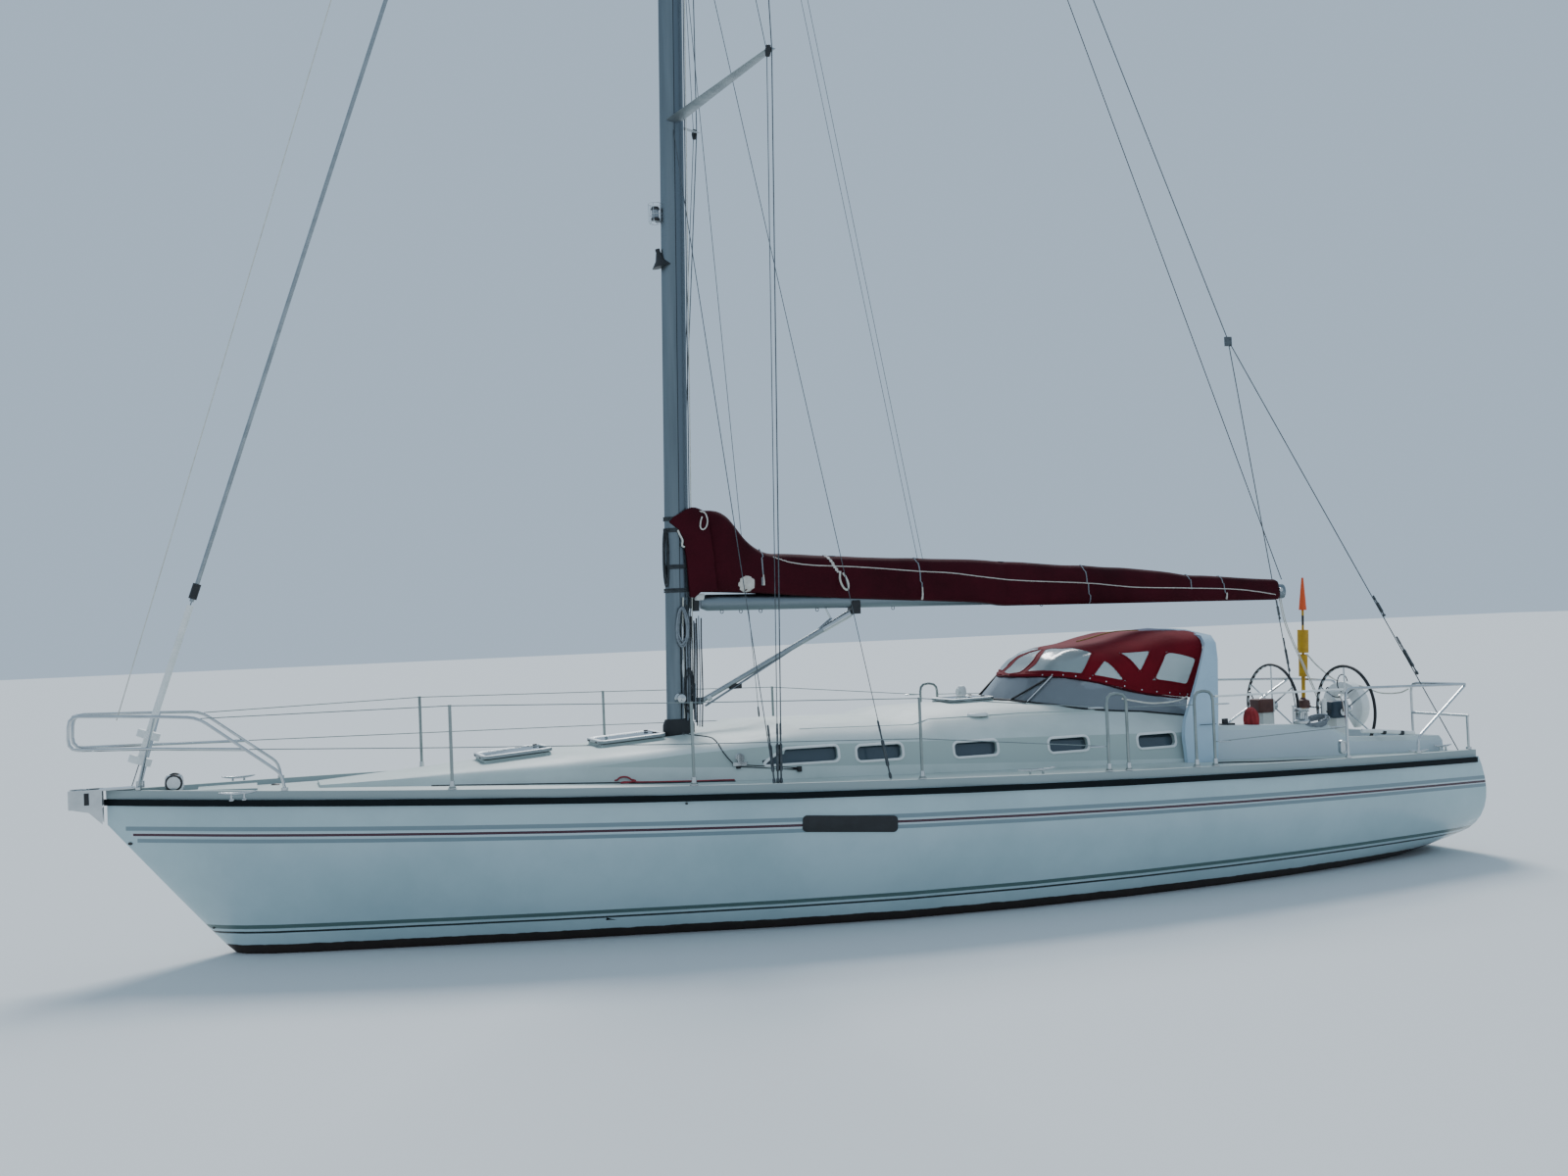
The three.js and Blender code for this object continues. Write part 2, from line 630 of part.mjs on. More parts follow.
// Hard arch behind the spray hood, its legs raked forward. Path: y, z, x of the front edge, of the back edge.
const archHalf = [
  [1262, 1010, 2765, 3065],
  [1252, 1270, 2750, 3085],
  [1232, 1400, 2780, 3108],
  [1190, 1580, 2885, 3145],
  [1140, 1740, 2978, 3185],
  [1070, 1900, 3080, 3240],
  [985, 2040, 3172, 3285],
  [880, 2108, 3205, 3310],
  [450, 2165, 3212, 3320],
  [0, 2185, 3215, 3320],
];
const archThick = 50;
const archPath = [...archHalf, ...archHalf.slice(0, -1).reverse().map(([y, z, a, b]) => [-y, z, a, b])];
const arch = loft(archPath.map(([y, z, x0, x1], i) => {
  const before = archPath[Math.max(0, i - 1)];
  const after = archPath[Math.min(archPath.length - 1, i + 1)];
  // the path runs from starboard over the top to port, so this points down and in
  const inward = new THREE.Vector3(0, before[1] - after[1], after[0] - before[0]).normalize();
  if (inward.y * y > 0 || (y === 0 && inward.z > 0)) inward.negate();
  const outer = [new THREE.Vector3(x0, y, z), new THREE.Vector3(x1, y, z)];
  return [...outer, ...outer.slice().reverse().map((p) => p.clone().addScaledVector(inward, archThick))];
}));
add('arch', solid(arch).subtract(solid(belowDeck(gap))).subtract(solid(roofGrown)), 'gelcoat');

// Windscreen: a band of clear panels round the front of the hood, standing on the coachroof.
// Half plan from the middle aft: lower edge x, y, then upper edge x, y, z.
const screenHalf = [
  [1500, 0, 1690, 0, 1800],
  [1545, 250, 1730, 220, 1800],
  [1650, 480, 1830, 430, 1800],
  [1800, 680, 1970, 620, 1790],
  [2030, 850, 2200, 790, 1735],
  [2400, 950, 2550, 900, 1630],
  [2930, 1000, 2990, 950, 1560],
];
const screenThick = 12;
const screenCentre = 2300;
const screenSink = 1.3; // the band runs on down into the roof, and is trimmed to it
const screenFull = [
  ...screenHalf.slice(1).reverse().map(([x, y, u, v, z]) => [x, -y, u, -v, z]),
  ...screenHalf,
];
const screen = loft(screenFull.map(([x, y, u, v, z], i) => {
  const before = screenFull[Math.max(0, i - 1)];
  const after = screenFull[Math.min(screenFull.length - 1, i + 1)];
  const inward = new THREE.Vector3(after[1] - before[1], before[0] - after[0], 0).normalize();
  if (inward.x * (screenCentre - x) + inward.y * -y < 0) inward.negate();
  const top = new THREE.Vector3(u, v, z);
  const down = new THREE.Vector3(x, y, roofAt(x, y)).sub(top);
  const low = top.clone().addScaledVector(down, screenSink);
  const inner = [top, low].map((p) => p.clone().addScaledVector(inward, screenThick));
  return [low, top, ...inner];
}));
add('windscreen', solid(screen).subtract(solid(roofGrown)), 'glass');

// Spray hood: a canopy from the windscreen's upper edge, open below and aft.
// Station: x, half width, lower edge, top, how square its shoulders are, lean of the ring aft.
const hoodTable = [
  [1700, 55, 1808, 1816, 1, 0],
  [1730, 220, 1808, 1830, 1, 0],
  [1830, 430, 1808, 1895, 0.95, 0],
  [1970, 620, 1798, 1995, 0.85, 0],
  [2200, 790, 1743, 2052, 0.66, 0],
  [2550, 900, 1638, 2098, 0.48, 0],
  [2850, 935, 1590, 2165, 0.38, 0.1],
  [3025, 950, 1568, 2160, 0.34, 0.26],
];
const hoodThick = 14;
const hoodSteps = 8;
function hoodRing([x, half, low, top, square, lean], inset, push) {
  const base = low - (inset > 0 ? 20 : 0);
  return Array.from({ length: 2 * hoodSteps + 1 }, (_, i) => {
    const angle = (Math.PI * i) / (2 * hoodSteps);
    const across = Math.cos(angle);
    const y = (half - inset) * Math.sign(across) * Math.abs(across) ** square;
    const up = (top - inset - base) * Math.sin(angle) ** (square + 0.05);
    return new THREE.Vector3(x + push + lean * up, y, base + up);
  });
}
const hoodOuter = loft(hoodTable.map((row) => hoodRing(row, 0, 0)));
const inside = hoodTable.slice(1).map((row) => hoodRing(row, hoodThick, hoodThick));
add('spray_hood', cut(solid(hoodOuter), loft(inside)), 'canvas');

// Roof hatches: lids just above the roof, each hinged on its front edge.
for (const [name, x0, x1, half, , lift, thick] of hatchTable) {
  const shape = roundedRectangle(0, x1 - x0, -half, half, lidCorner);
  const lid = new THREE.ExtrudeGeometry(shape, { depth: thick, bevelEnabled: false, curveSegments: 3 });
  add(name, onRoofSlope(lid.translate(0, 0, lift), x0, x1), 'glass');
}

// Companionway: sliding hatch on the roof and a washboard in the bulkhead.
const slideZ = 1622;
const boardX = [coachroofAft - shellThickness + 5, coachroofAft - 10];
add('companion_hatch', box(companionX - 60, coachroofAft + 20, -340, 340, slideZ, slideZ + 30), 'glass');
add('washboard', box(...boardX, 2 - companionHalf, companionHalf - 2, doorLow + 95, slideZ - 5), 'teak');

// Mast: one oval extrusion, raked aft, with a collar round its foot.
const rake = (mastHead.x - mastFoot.x) / (mastHead.z - mastFoot.z);
const mastAt = (z) => mastFoot.x + rake * (z - mastFoot.z);
function ovalRing(z, long, wide) {
  const steps = 16;
  return Array.from({ length: steps }, (_, i) => {
    const angle = (2 * Math.PI * i) / steps;
    return new THREE.Vector3(mastAt(z) + (long / 2) * Math.cos(angle), (wide / 2) * Math.sin(angle), z);
  });
}
// Mast by station: height, share of the full section fore and aft, share across.
const mastTable = [[mastFoot.z, 1, 1], [15400, 1, 1], [mastHead.z, 0.75, 0.8]];
const mastBody = loft(mastTable.map(([z, long, wide]) => ovalRing(z, mastLong * long, mastWide * wide)));
const crane = box(mastHead.x - 130, mastHead.x + 190, -30, 30, mastHead.z - 40, mastHead.z + 50);
add('mast', join(mastBody, crane), 'alloy');
// Collar by station: height, how much wider than the mast.
const collarTable = [[1300, 70], [1545, 70], [1595, 30]];
const collar = loft(collarTable.map(([z, grow]) => ovalRing(z, mastLong + grow, mastWide + grow)));
const mastBore = loft([1500, 1800].map((z) => ovalRing(z, mastLong + 2, mastWide + 2)));
add('mast_collar', cut(solid(collar).subtract(solid(roofGrown)), mastBore), 'black');

// Swept spreaders: name, height of the root, half span, sweep aft, rise.
const spreaderTable = [
  ['lower', 6700, 1100, 540, 290],
  ['upper', 10900, 860, 420, 200],
];
// Spreader's section at each end: half chord, half thickness.
const spreaderEnds = [[75, 16], [38, 10]];
for (const [name, rootZ, span, sweep, rise] of spreaderTable) {
  for (const [sideName, side] of sides) {
    const root = [mastAt(rootZ) + 10, side * (mastWide / 2 + 2), rootZ];
    const tip = [root[0] + sweep, side * span, rootZ + rise];
    const rings = [root, tip].map(([x, y, z], i) => {
      const [chord, thick] = spreaderEnds[i];
      const section = [[-chord, 0], [0, thick], [chord, 0], [0, -thick]];
      return section.map(([u, v]) => new THREE.Vector3(x + u, y, z + v));
    });
    add(`spreader_${name}_${sideName}`, loft(rings), 'alloy');
  }
}

// Standing rigging.
const chainX = -1030;
const chainY = 1590;
for (const [sideName, side] of sides) {
  const points = [[chainX, side * chainY, deckAt(chainX, chainY) + 1]];
  for (const [, rootZ, span, sweep, rise] of spreaderTable) {
    points.push([mastAt(rootZ) + 10 + sweep, side * (span + 10), rootZ + rise]);
  }
  points.push([mastAt(houndsZ), side * (mastWide / 2 + stayRadius + 1), houndsZ]);
  add(`cap_shroud_${sideName}`, tube(points, stayRadius, 6), 'steel');
}
const tack = [-5690, 0, 1332];
const stayTop = [mastAt(houndsZ) - mastLong / 2 - 12, 0, houndsZ];
const onStay = (t) => tack.map((v, i) => v + t * (stayTop[i] - v));
// Round piece on the stay: share of the stay from, to, radius, number of sides.
const ringOnStay = (from, to, radius, count) => rod(onStay(from), onStay(to), radius, radius, count);
const foilBore = ringOnStay(0, 1, 10, 10);
add('forestay', ringOnStay(0, 1, wireRadius, 8), 'steel');
add('furling_foil', cut(solid(ringOnStay(0.102, 0.97, 17, 12)), foilBore), 'alloy');
const drumParts = [[0.012, 0.016, 85, 18], [0.012, 0.1, 26, 14], [0.026, 0.03, 85, 18]].map((row) => ringOnStay(...row));
add('furler_drum', cut(join(...drumParts), foilBore), 'white');
const swivelBore = ringOnStay(0.09, 0.12, 17.5, 12);
add('halyard_swivel', cut(solid(ringOnStay(0.1035, 0.112, 32, 12)), swivelBore), 'black');
const splitPoint = [4252, 0, 4937];
const splitBlock = 35;
const sternPoint = (side) => [5740, side * 1150, deckAt(5740, 1150) + 4];
const backstayTop = [mastHead.x + 196, 0, mastHead.z - 40];
add('backstay', join(
  rod(backstayTop, splitPoint, stayRadius, stayRadius, 8),
  rod(splitPoint, sternPoint(-1), stayRadius, stayRadius, 8),
  rod(splitPoint, sternPoint(1), stayRadius, stayRadius, 8),
  box(splitPoint[0] - splitBlock, splitPoint[0] + splitBlock, -12, 12, splitPoint[2] - 60, splitPoint[2] + 30),
), 'steel');

// Boom, its gooseneck, the rod kicker and the stowed mainsail under its cover.
const boomAt = (x) => boomZ + ((boomEndZ - boomZ) * (x - boomPinX)) / (boomEnd - boomPinX);
function boomRing(x, high, wide) {
  const count = 12;
  return Array.from({ length: count }, (_, i) => {
    const angle = (2 * Math.PI * i) / count;
    return new THREE.Vector3(x, (wide / 2) * Math.cos(angle), boomAt(x) + (high / 2) * Math.sin(angle));
  });
}
const boomFore = boomPinX + 45;
const boomBody = [boomRing(boomFore, boomHigh - 40, boomWide - 40), boomRing(boomFore + 55, boomHigh, boomWide)];
add('boom', loft([...boomBody, boomRing(boomEnd, boomHigh, boomWide)]), 'alloy');
const mastBack = (z) => mastAt(z) + mastLong / 2;
add('gooseneck', box(mastBack(boomZ) + 2, boomPinX + 20, -22, 22, boomZ - 45, boomZ + 45), 'steel');
const kickerZ = 1735;
const kickerFoot = [boomPinX + rake * (kickerZ - boomZ) + 45, 0, kickerZ];
add('kicker', rod(kickerFoot, [240, 0, 2448], 22, 27, 12), 'alloy');
// Cover by station: x, half width, lower edge, top. It leaves the boom bare forward and wraps it aft.
const coverTable = [
  [-1195, 25, 2668, 3310],
  [-1120, 75, 2670, 3350],
  [-1000, 105, 2662, 3345],
  [-900, 118, 2655, 3270],
  [-827, 122, 2650, 3187],
  [-700, 128, 2640, 3050],
  [-554, 132, 2625, 2962],
  [16, 125, 2572, 2938],
  [500, 120, 2540, 2918],
  [1447, 110, 2484, 2861],
  [1700, 105, 2446, 2845],
  [2960, 95, 2428, 2759],
  [3690, 85, 2418, 2665],
  [4640, 74, 2404, 2608],
];
// Its section: share of the half width, share of the height.
const coverSection = [[0.8, 0], [0.98, 0.12], [1, 0.45], [0.72, 0.86], [0.2, 1]];
const cover = loft(coverTable.map(([x, half, low, top]) => (
  ringAt(x, withPort(coverSection.map(([wide, high]) => [wide * half, low + high * (top - low)])))
)));
const coverRoom = 8; // the boom's section is let out by this inside the cover
const coverBore = loft([boomFore, boomEnd + 50].map((x) => boomRing(x, boomHigh + coverRoom, boomWide + coverRoom)));
add('sail_cover', cut(solid(cover), coverBore), 'canvas');

// Pulpit, pushpit and guard rails: welded tube on round feet.
const railInset = 30;
const onRail = (x, side) => [x, side * (halfBeamAt(x) - railInset), alongSheer(x) + 16];
const footOf = ([x, y, z]) => rod([x, y, z - 14], [x, y, z + 6], 26, 26, 12);
const bent = (points) => tube(rounded(points, 80), railTube, 8);
const straight = (from, to) => rod(from, to, railTube, railTube, 8);
const mirror = ([x, y, z], side) => [x, side * y, z];

// Pulpit: on each side a loop from the aft foot over the top to the stem head and back at half height.
const pulpitAft = -4600;
const pulpitLeg = [-5640, 105, alongSheer(-5640) + 18];
const pulpitLegTop = [-5500, 396, 1863];
const pulpitFront = [-6100, 160, 1888];
const pulpitFrontLow = [-6112, 158, 1637];
const pulpitBend = [-5195, 550, 1845];
const pulpitKnee = [-4622, 600, 1400];
const pulpitMid = [[-5556, 281, 1622], [-4873, 578, 1592]];
const pulpitParts = sides.flatMap(([, side]) => {
  const loop = [pulpitKnee, pulpitBend, pulpitLegTop, pulpitFront, pulpitFrontLow, ...pulpitMid];
  return [
    footOf(onRail(pulpitAft, side)),
    footOf(mirror(pulpitLeg, side)),
    bent([onRail(pulpitAft, side), ...loop.map((p) => mirror(p, side))]),
    straight(mirror(pulpitLeg, side), mirror(pulpitLegTop, side)),
  ];
});
const crossbar = straight(mirror(pulpitFront, -1), mirror(pulpitFront, 1)).translate(30, 0, -4);
add('pulpit', join(...pulpitParts, crossbar), 'steel');

// Pushpit: a loop in each quarter, with a gate between them on the centreline.
const sternZ = sternFreeboard + 600;
const sternMid = sternFreeboard + 310;
const sternLegs = [4155, 5030];
const sternKneeZ = 1118;
const aftX = 5745;
const cornerY = 1270;
const gateY = 550;
const footRise = 17; // a leg's foot disc above the deck it stands on
for (const [sideName, side] of sides) {
  const [fore, slanted] = sternLegs.map((x) => onRail(x, side));
  const corner = [aftX, side * (cornerY + 30), sternZ];
  const gateFoot = [aftX, side * gateY, deckAt(aftX, gateY) + footRise];
  const cornerFoot = [aftX, side * cornerY, alongSheer(aftX) + footRise];
  add(`pushpit_${sideName}`, join(
    footOf(fore),
    footOf(slanted),
    footOf(gateFoot),
    footOf(cornerFoot),
    bent([fore, [fore[0], fore[1], sternZ + 50], corner, [aftX, side * gateY, sternZ - 5], gateFoot]),
    bent([slanted, [slanted[0] + 6, slanted[1], sternKneeZ], [aftX - 40, side * (cornerY + 32), sternZ - 12]]),
    straight(cornerFoot, [aftX, side * cornerY, sternMid]),
    straight([aftX, side * (cornerY + 15), sternMid], [aftX, side * gateY, sternMid]),
  ), 'steel');
}

// Guard rails: stanchions, two gate hoops a side, and two wires from the pulpit to the pushpit.
const stanchionX = [-3425, -1699, 51];
const gateX = [[1659, 1842], [2503, 2691]];
const hoopDrop = 110; // wires meet the hoops below their rounded corners
const aftDrop = 45; // the upper wire aft of the gates leaves near their top
const wireEnd = 22; // wires stop short of the pulpit and the pushpit
for (const [sideName, side] of sides) {
  const level = (high) => (x) => [x, side * (halfBeamAt(x) - railInset), alongSheer(x) + high];
  const [top, mid] = [level(railTop), level(railTop / 2)];
  const lowered = ([x, y, z], drop = hoopDrop) => [x, y, z - drop];
  const posts = stanchionX.flatMap((x) => (
    [footOf(onRail(x, side)), straight(onRail(x, side), level(railTop + 8)(x))]));
  const hoops = gateX.flatMap(([a, b]) => [
    footOf(onRail(a, side)),
    footOf(onRail(b, side)),
    bent([onRail(a, side), top(a), top(b), onRail(b, side)]),
  ]);
  // where the wires leave the pulpit's bend and its aft leg
  const fore = [[pulpitBend[0] + wireEnd, side * 566, 1838], [pulpitMid[1][0] + wireEnd + 10, side * 598, 1592]];
  const aftEnd = sternLegs[0] - wireEnd;
  const wires = [top, mid].flatMap((at, i) => {
    const [x, y, z] = at(aftEnd);
    return [
      tube([fore[i], ...stanchionX.map(at), lowered(at(gateX[0][0]))], wireRadius, 6),
      tube([lowered(at(gateX[1][1]), i ? hoopDrop : aftDrop), [x, y, z - (i ? 40 : 25)]], wireRadius, 6),
    ];
  });
  const gateWire = tube([lowered(top(gateX[0][1])), lowered(top(gateX[1][0]))], wireRadius, 6);
  add(`guard_rail_${sideName}`, join(...posts, ...hoops, ...wires, gateWire), 'steel');
}

// Helm: a pedestal and a wheel on each side of the cockpit.
const spokeCount = 6;
for (const [sideName, side] of sides) {
  const y = side * wheelY;
  add(`pedestal_${sideName}`, join(
    box(wheelX - 170, wheelX - 40, y - 75, y + 75, soleZ + gap, wheelZ - 60),
    box(wheelX - 190, wheelX - 40, y - 95, y + 95, wheelZ - 61, wheelZ + 60),
  ), 'gelcoat');
  const rim = new THREE.TorusGeometry(wheelRadius, 14, 8, 32);
  rim.rotateY(Math.PI / 2).translate(wheelX, y, wheelZ);
  let wheel = solid(rim).add(solid(rod([wheelX - 30, y, wheelZ], [wheelX + 35, y, wheelZ], 45, 45, 14)));
  for (let i = 0; i < spokeCount; i += 1) {
    const angle = (2 * Math.PI * (i + 0.5)) / spokeCount;
    const reach = [wheelX, y + wheelRadius * Math.cos(angle), wheelZ + wheelRadius * Math.sin(angle)];
    wheel = wheel.add(solid(rod([wheelX, y, wheelZ], reach, 8, 8, 6)));
  }
  add(`wheel_${sideName}`, wheel, 'steel');
}

// Bow roller: two cheeks reaching forward of the stem, with a roller between, on a tongue over the deck.
const cheekSide = 80;
const cheekThick = 10;
const cheekOutline = [[-6130, 1328], [-6130, 1190], [-5990, 1158], [bowX - 16, 1064], [bowX - 16, 1328]];
const cheek = new THREE.ExtrudeGeometry(
  new THREE.Shape(cheekOutline.map(([x, z]) => new THREE.Vector2(x, z))),
  { depth: cheekThick, bevelEnabled: false },
).rotateX(Math.PI / 2);
const tongueZ = bowFreeboard + 4;
add('bow_roller', join(
  cheek.clone().translate(0, cheekSide, 0),
  cheek.clone().translate(0, cheekThick - cheekSide, 0),
  box(-6128, bowX - 18, -cheekSide, cheekSide, 1185, 1200),
  box(-6130, -6118, -cheekSide, cheekSide, 1190, 1300),
  rod([-6060, -cheekSide + 5, 1262], [-6060, cheekSide - 5, 1262], 42, 42, 16),
  box(bowX - 40, -5672, -cheekSide, cheekSide, tongueZ, tongueZ + 10),
), 'steel');

const windlassX = -5390;
const windlassZ = deckAt(windlassX, 0) + 1;
add('windlass', join(
  rod([windlassX, 0, windlassZ], [windlassX, 0, windlassZ + 130], 70, 60, 14),
  rod([windlassX, -130, windlassZ + 80], [windlassX, 130, windlassZ + 80], 50, 50, 12),
), 'steel');

// Anchor locker lid by station: x, half width. It hinges on its aft edge.
const lockerTable = [[-5220, 150], [-4790, 260]];
add('anchor_locker_lid', loft(lockerTable.map(([x, half]) => {
  const z = deckAt(x, 0) + 3;
  return ringAt(x, withPort([[half, z], [half, z + 18]]));
})), 'deck');

// Cabin windows: a clear strip inside each side wall, behind its openings, bent with the wall.
const stripStations = [-1300, -900, 200, 1400, 2760];
const stripThick = 6;
for (const [sideName, side] of sides) {
  const strip = stripStations.map((x) => {
    const [, wide, , shoulder] = between(roofTable, x);
    const y = wide - shellThickness - 5;
    const base = deckAt(x, y) - 20;
    const bend = shoulder - 35 - shellThickness;
    const wallAt = (z) => (z < bend ? y - (50 * (z - base)) / (bend - base) : y - 50 - (z - bend) * 1.3);
    const fall = 0.024 * (x + 1000); // the windows follow the sheer
    const [low, top] = [1235 - fall, 1378 - fall];
    const outer = [low, Math.min(bend, top - 1), top].map((z) => [wallAt(z), z]);
    const inner = outer.slice().reverse().map(([py, pz]) => [py - stripThick, pz]);
    return ringAt(x, [...outer, ...inner].map(([py, pz]) => [side * py, pz]));
  });
  add(`cabin_windows_${sideName}`, loft(strip), 'glass');
}

// Winches on the coamings. Profile: radius, height.
const winchProfile = [[0, 0], [78, 0], [78, 22], [52, 45], [46, 85], [58, 120], [40, 132], [0, 132]];
for (const [sideName, side] of sides) {
  const winch = new THREE.LatheGeometry(winchProfile.map(([r, z]) => new THREE.Vector2(r, z)), 20);
  add(`winch_${sideName}`, winch.rotateX(Math.PI / 2).translate(4140, side * 1000, 1278), 'steel');
}

// Danbuoy standing on the starboard quarter, leaning in a little. Pieces: z from, to, radius below, above.
const danbuoyTable = [
  [1300, 1600, 20, 20], [1600, 2330, 12, 12], [1590, 1820, 46, 46], [1840, 2080, 57, 57], [2290, 2630, 40, 10],
];
const danbuoyX = aftX - 35;
const danbuoyY = (z) => 1043 - 0.06 * (z - 1310);
add('danbuoy', join(...danbuoyTable.map(([z0, z1, r0, r1]) => (
  rod([danbuoyX, danbuoyY(z0), z0], [danbuoyX, danbuoyY(z1), z1], r0, r1, 14)))), 'yellow');

// Horseshoe buoy: a thick horseshoe outline hung at the stern gate, its mouth down.
const [buoyOut, buoyIn, buoyMouth] = [290, 165, 0.6];
const horseshoe = new THREE.Shape();
horseshoe.absarc(0, 0, buoyOut, -Math.PI / 2 + buoyMouth, 1.5 * Math.PI - buoyMouth);
horseshoe.absarc(0, 0, buoyIn, 1.5 * Math.PI - buoyMouth, -Math.PI / 2 + buoyMouth, true);
const buoyForm = { depth: 60, bevelEnabled: true, bevelThickness: 20, bevelSize: 20, bevelSegments: 2 };
const lifebuoy = new THREE.ExtrudeGeometry(horseshoe, { ...buoyForm, curveSegments: 14 });
lifebuoy.scale(1, 0.8, 1).rotateX(Math.PI / 2).rotateZ(Math.PI / 2).translate(aftX - 110, 310, 1308);
add('lifebuoy', lifebuoy, 'white');

export default yacht;
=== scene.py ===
import math
import bmesh
import bpy
import numpy as np
from mathutils import Matrix, Vector


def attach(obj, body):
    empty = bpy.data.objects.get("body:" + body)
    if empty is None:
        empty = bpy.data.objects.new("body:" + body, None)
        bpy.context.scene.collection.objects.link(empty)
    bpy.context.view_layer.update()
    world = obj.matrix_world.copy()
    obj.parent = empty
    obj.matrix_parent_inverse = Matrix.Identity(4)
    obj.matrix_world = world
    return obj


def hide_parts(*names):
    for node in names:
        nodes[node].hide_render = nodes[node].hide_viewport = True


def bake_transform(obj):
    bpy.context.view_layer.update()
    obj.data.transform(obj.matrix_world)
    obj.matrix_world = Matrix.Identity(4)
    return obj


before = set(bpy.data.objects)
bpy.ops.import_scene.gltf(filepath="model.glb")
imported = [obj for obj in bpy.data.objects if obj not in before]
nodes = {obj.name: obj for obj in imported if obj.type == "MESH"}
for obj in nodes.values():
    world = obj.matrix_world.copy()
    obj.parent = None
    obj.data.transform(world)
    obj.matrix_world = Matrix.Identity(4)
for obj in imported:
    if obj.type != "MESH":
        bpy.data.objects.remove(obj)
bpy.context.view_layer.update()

# Looks of a cruising yacht afloat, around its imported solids.
# Metres: bow towards -X, starboard +Y, water at z = 0.
bothSides = (("port", -1), ("starboard", 1))

# Camera, floor and light
view = {
    "place": (-4.858, -12.96, 2.354),
    "yaw": 18.99, "pitch": 1.336, "roll": -2.319,  # degrees
    "lens": 36.18,
    "floorHalf": 160,
    "floorColour": "#d9dcdc",
    "skyColour": "#c6def5", "skyStrength": 0.80,
    "sunStrength": 2.7, "sunAngle": 22, "sunTurn": (-44, 18, 0),
    "fillPower": 90, "fillSize": 14, "fillPlace": (-6, -20, 9),
}


def linearRgb(hexText):
    # sRGB hex to linear light
    parts = [int(hexText[i:i + 2], 16) / 255 for i in (1, 3, 5)]
    return tuple(p / 12.92 if p <= 0.04045 else ((p + 0.055) / 1.055) ** 2.4 for p in parts) + (1.0,)


def feed(node, inputs):
    # gives each input a value, or a link from a socket or from another node's result
    for key, value in inputs.items():
        if isinstance(value, bpy.types.Node):
            value = value.outputs[2 if getattr(value, "data_type", "") == "RGBA" else 0]
        if isinstance(value, bpy.types.NodeSocket):
            node.id_data.links.new(value, node.inputs[key])
        else:
            node.inputs[key].default_value = value


def addNode(tree, kind, inputs=None, **settings):
    # one shader node, with its settings, and with values or links on its inputs
    node = tree.nodes.new("ShaderNode" + kind)
    for key, value in settings.items():
        setattr(node, key, value)
    feed(node, inputs or {})
    return node


def placeCamera():
    yaw, pitch, roll = (math.radians(view[key]) for key in ("yaw", "pitch", "roll"))
    ahead = Vector((math.sin(yaw) * math.cos(pitch), math.cos(yaw) * math.cos(pitch), math.sin(pitch)))
    level = Vector((math.cos(yaw), -math.sin(yaw), 0))
    above = level.cross(ahead)
    right = level * math.cos(roll) + above * math.sin(roll)
    top = above * math.cos(roll) - level * math.sin(roll)
    camera = bpy.data.objects.new("camera", bpy.data.cameras.new("camera"))
    camera.data.lens = view["lens"]
    camera.data.sensor_width = 36
    camera.data.clip_end = 1000
    camera.matrix_world = Matrix((right, top, -ahead)).transposed().to_4x4()
    camera.location = view["place"]
    bpy.context.scene.collection.objects.link(camera)
    bpy.context.scene.camera = camera


def layStage():
    half = view["floorHalf"]
    mesh = bpy.data.meshes.new("floor")
    corners = [(-half, -half, 0), (half, -half, 0), (half, half, 0), (-half, half, 0)]
    mesh.from_pydata(corners, [], [(0, 1, 2, 3)])
    floor = bpy.data.objects.new("floor", mesh)
    bpy.context.scene.collection.objects.link(floor)
    material = bpy.data.materials.new("matt paper floor")
    material.use_nodes = True
    shader = material.node_tree.nodes["Principled BSDF"]
    feed(shader, {"Base Color": linearRgb(view["floorColour"]), "Roughness": 0.9})
    mesh.materials.append(material)
    world = bpy.data.worlds.new("soft sky")
    bpy.context.scene.world = world
    world.use_nodes = True
    backdrop = world.node_tree.nodes["Background"]
    feed(backdrop, {"Color": linearRgb(view["skyColour"]), "Strength": view["skyStrength"]})
    sun = bpy.data.objects.new("soft_sun", bpy.data.lights.new("soft_sun", "SUN"))
    sun.data.energy = view["sunStrength"]
    sun.data.angle = math.radians(view["sunAngle"])
    sun.rotation_euler = [math.radians(v) for v in view["sunTurn"]]
    bpy.context.scene.collection.objects.link(sun)
    fill = bpy.data.objects.new("fill", bpy.data.lights.new("fill", "AREA"))
    fill.data.energy = view["fillPower"]
    fill.data.size = view["fillSize"]
    fill.location = view["fillPlace"]
    fill.rotation_euler = (-fill.location).to_track_quat("-Z", "Y").to_euler()
    bpy.context.scene.collection.objects.link(fill)


placeCamera()
layStage()
print("camera, floor and light are set")

# Shapes of the solids that the pieces sit on, as in their source
hullForm = {
    "bow": -5.88, "stern": 5.79, "beam": 3.74,
    "bowHigh": 1.312, "midHigh": 1.128, "sternHigh": 0.957,
    "knuckle": 1.06, "overhang": 0.865, "depth": 0.52, "curve": 2.6,
    "foreReach": 5.684, "aftReach": 5.5, "forefoot": 0.15,
    "widest": 0.62, "fullBow": 2.1, "taper": 0.30, "fullStern": 1.8,
    "railDrop": 0.045, "camber": 0.07,
    # station x, how round near the sheer, how flat the floor
    "sections": np.array([
        [-5.88, 1.4, 1.3], [-4.6, 1.75, 1.6], [-3.4, 1.85, 1.55], [-1.7, 2.1, 1.6], [0.2, 2.5, 2.15],
        [2.5, 2.75, 2.15], [3.5, 2.8, 2.45], [4.7, 3.1, 2.9], [5.79, 3.8, 4.0]]),
}
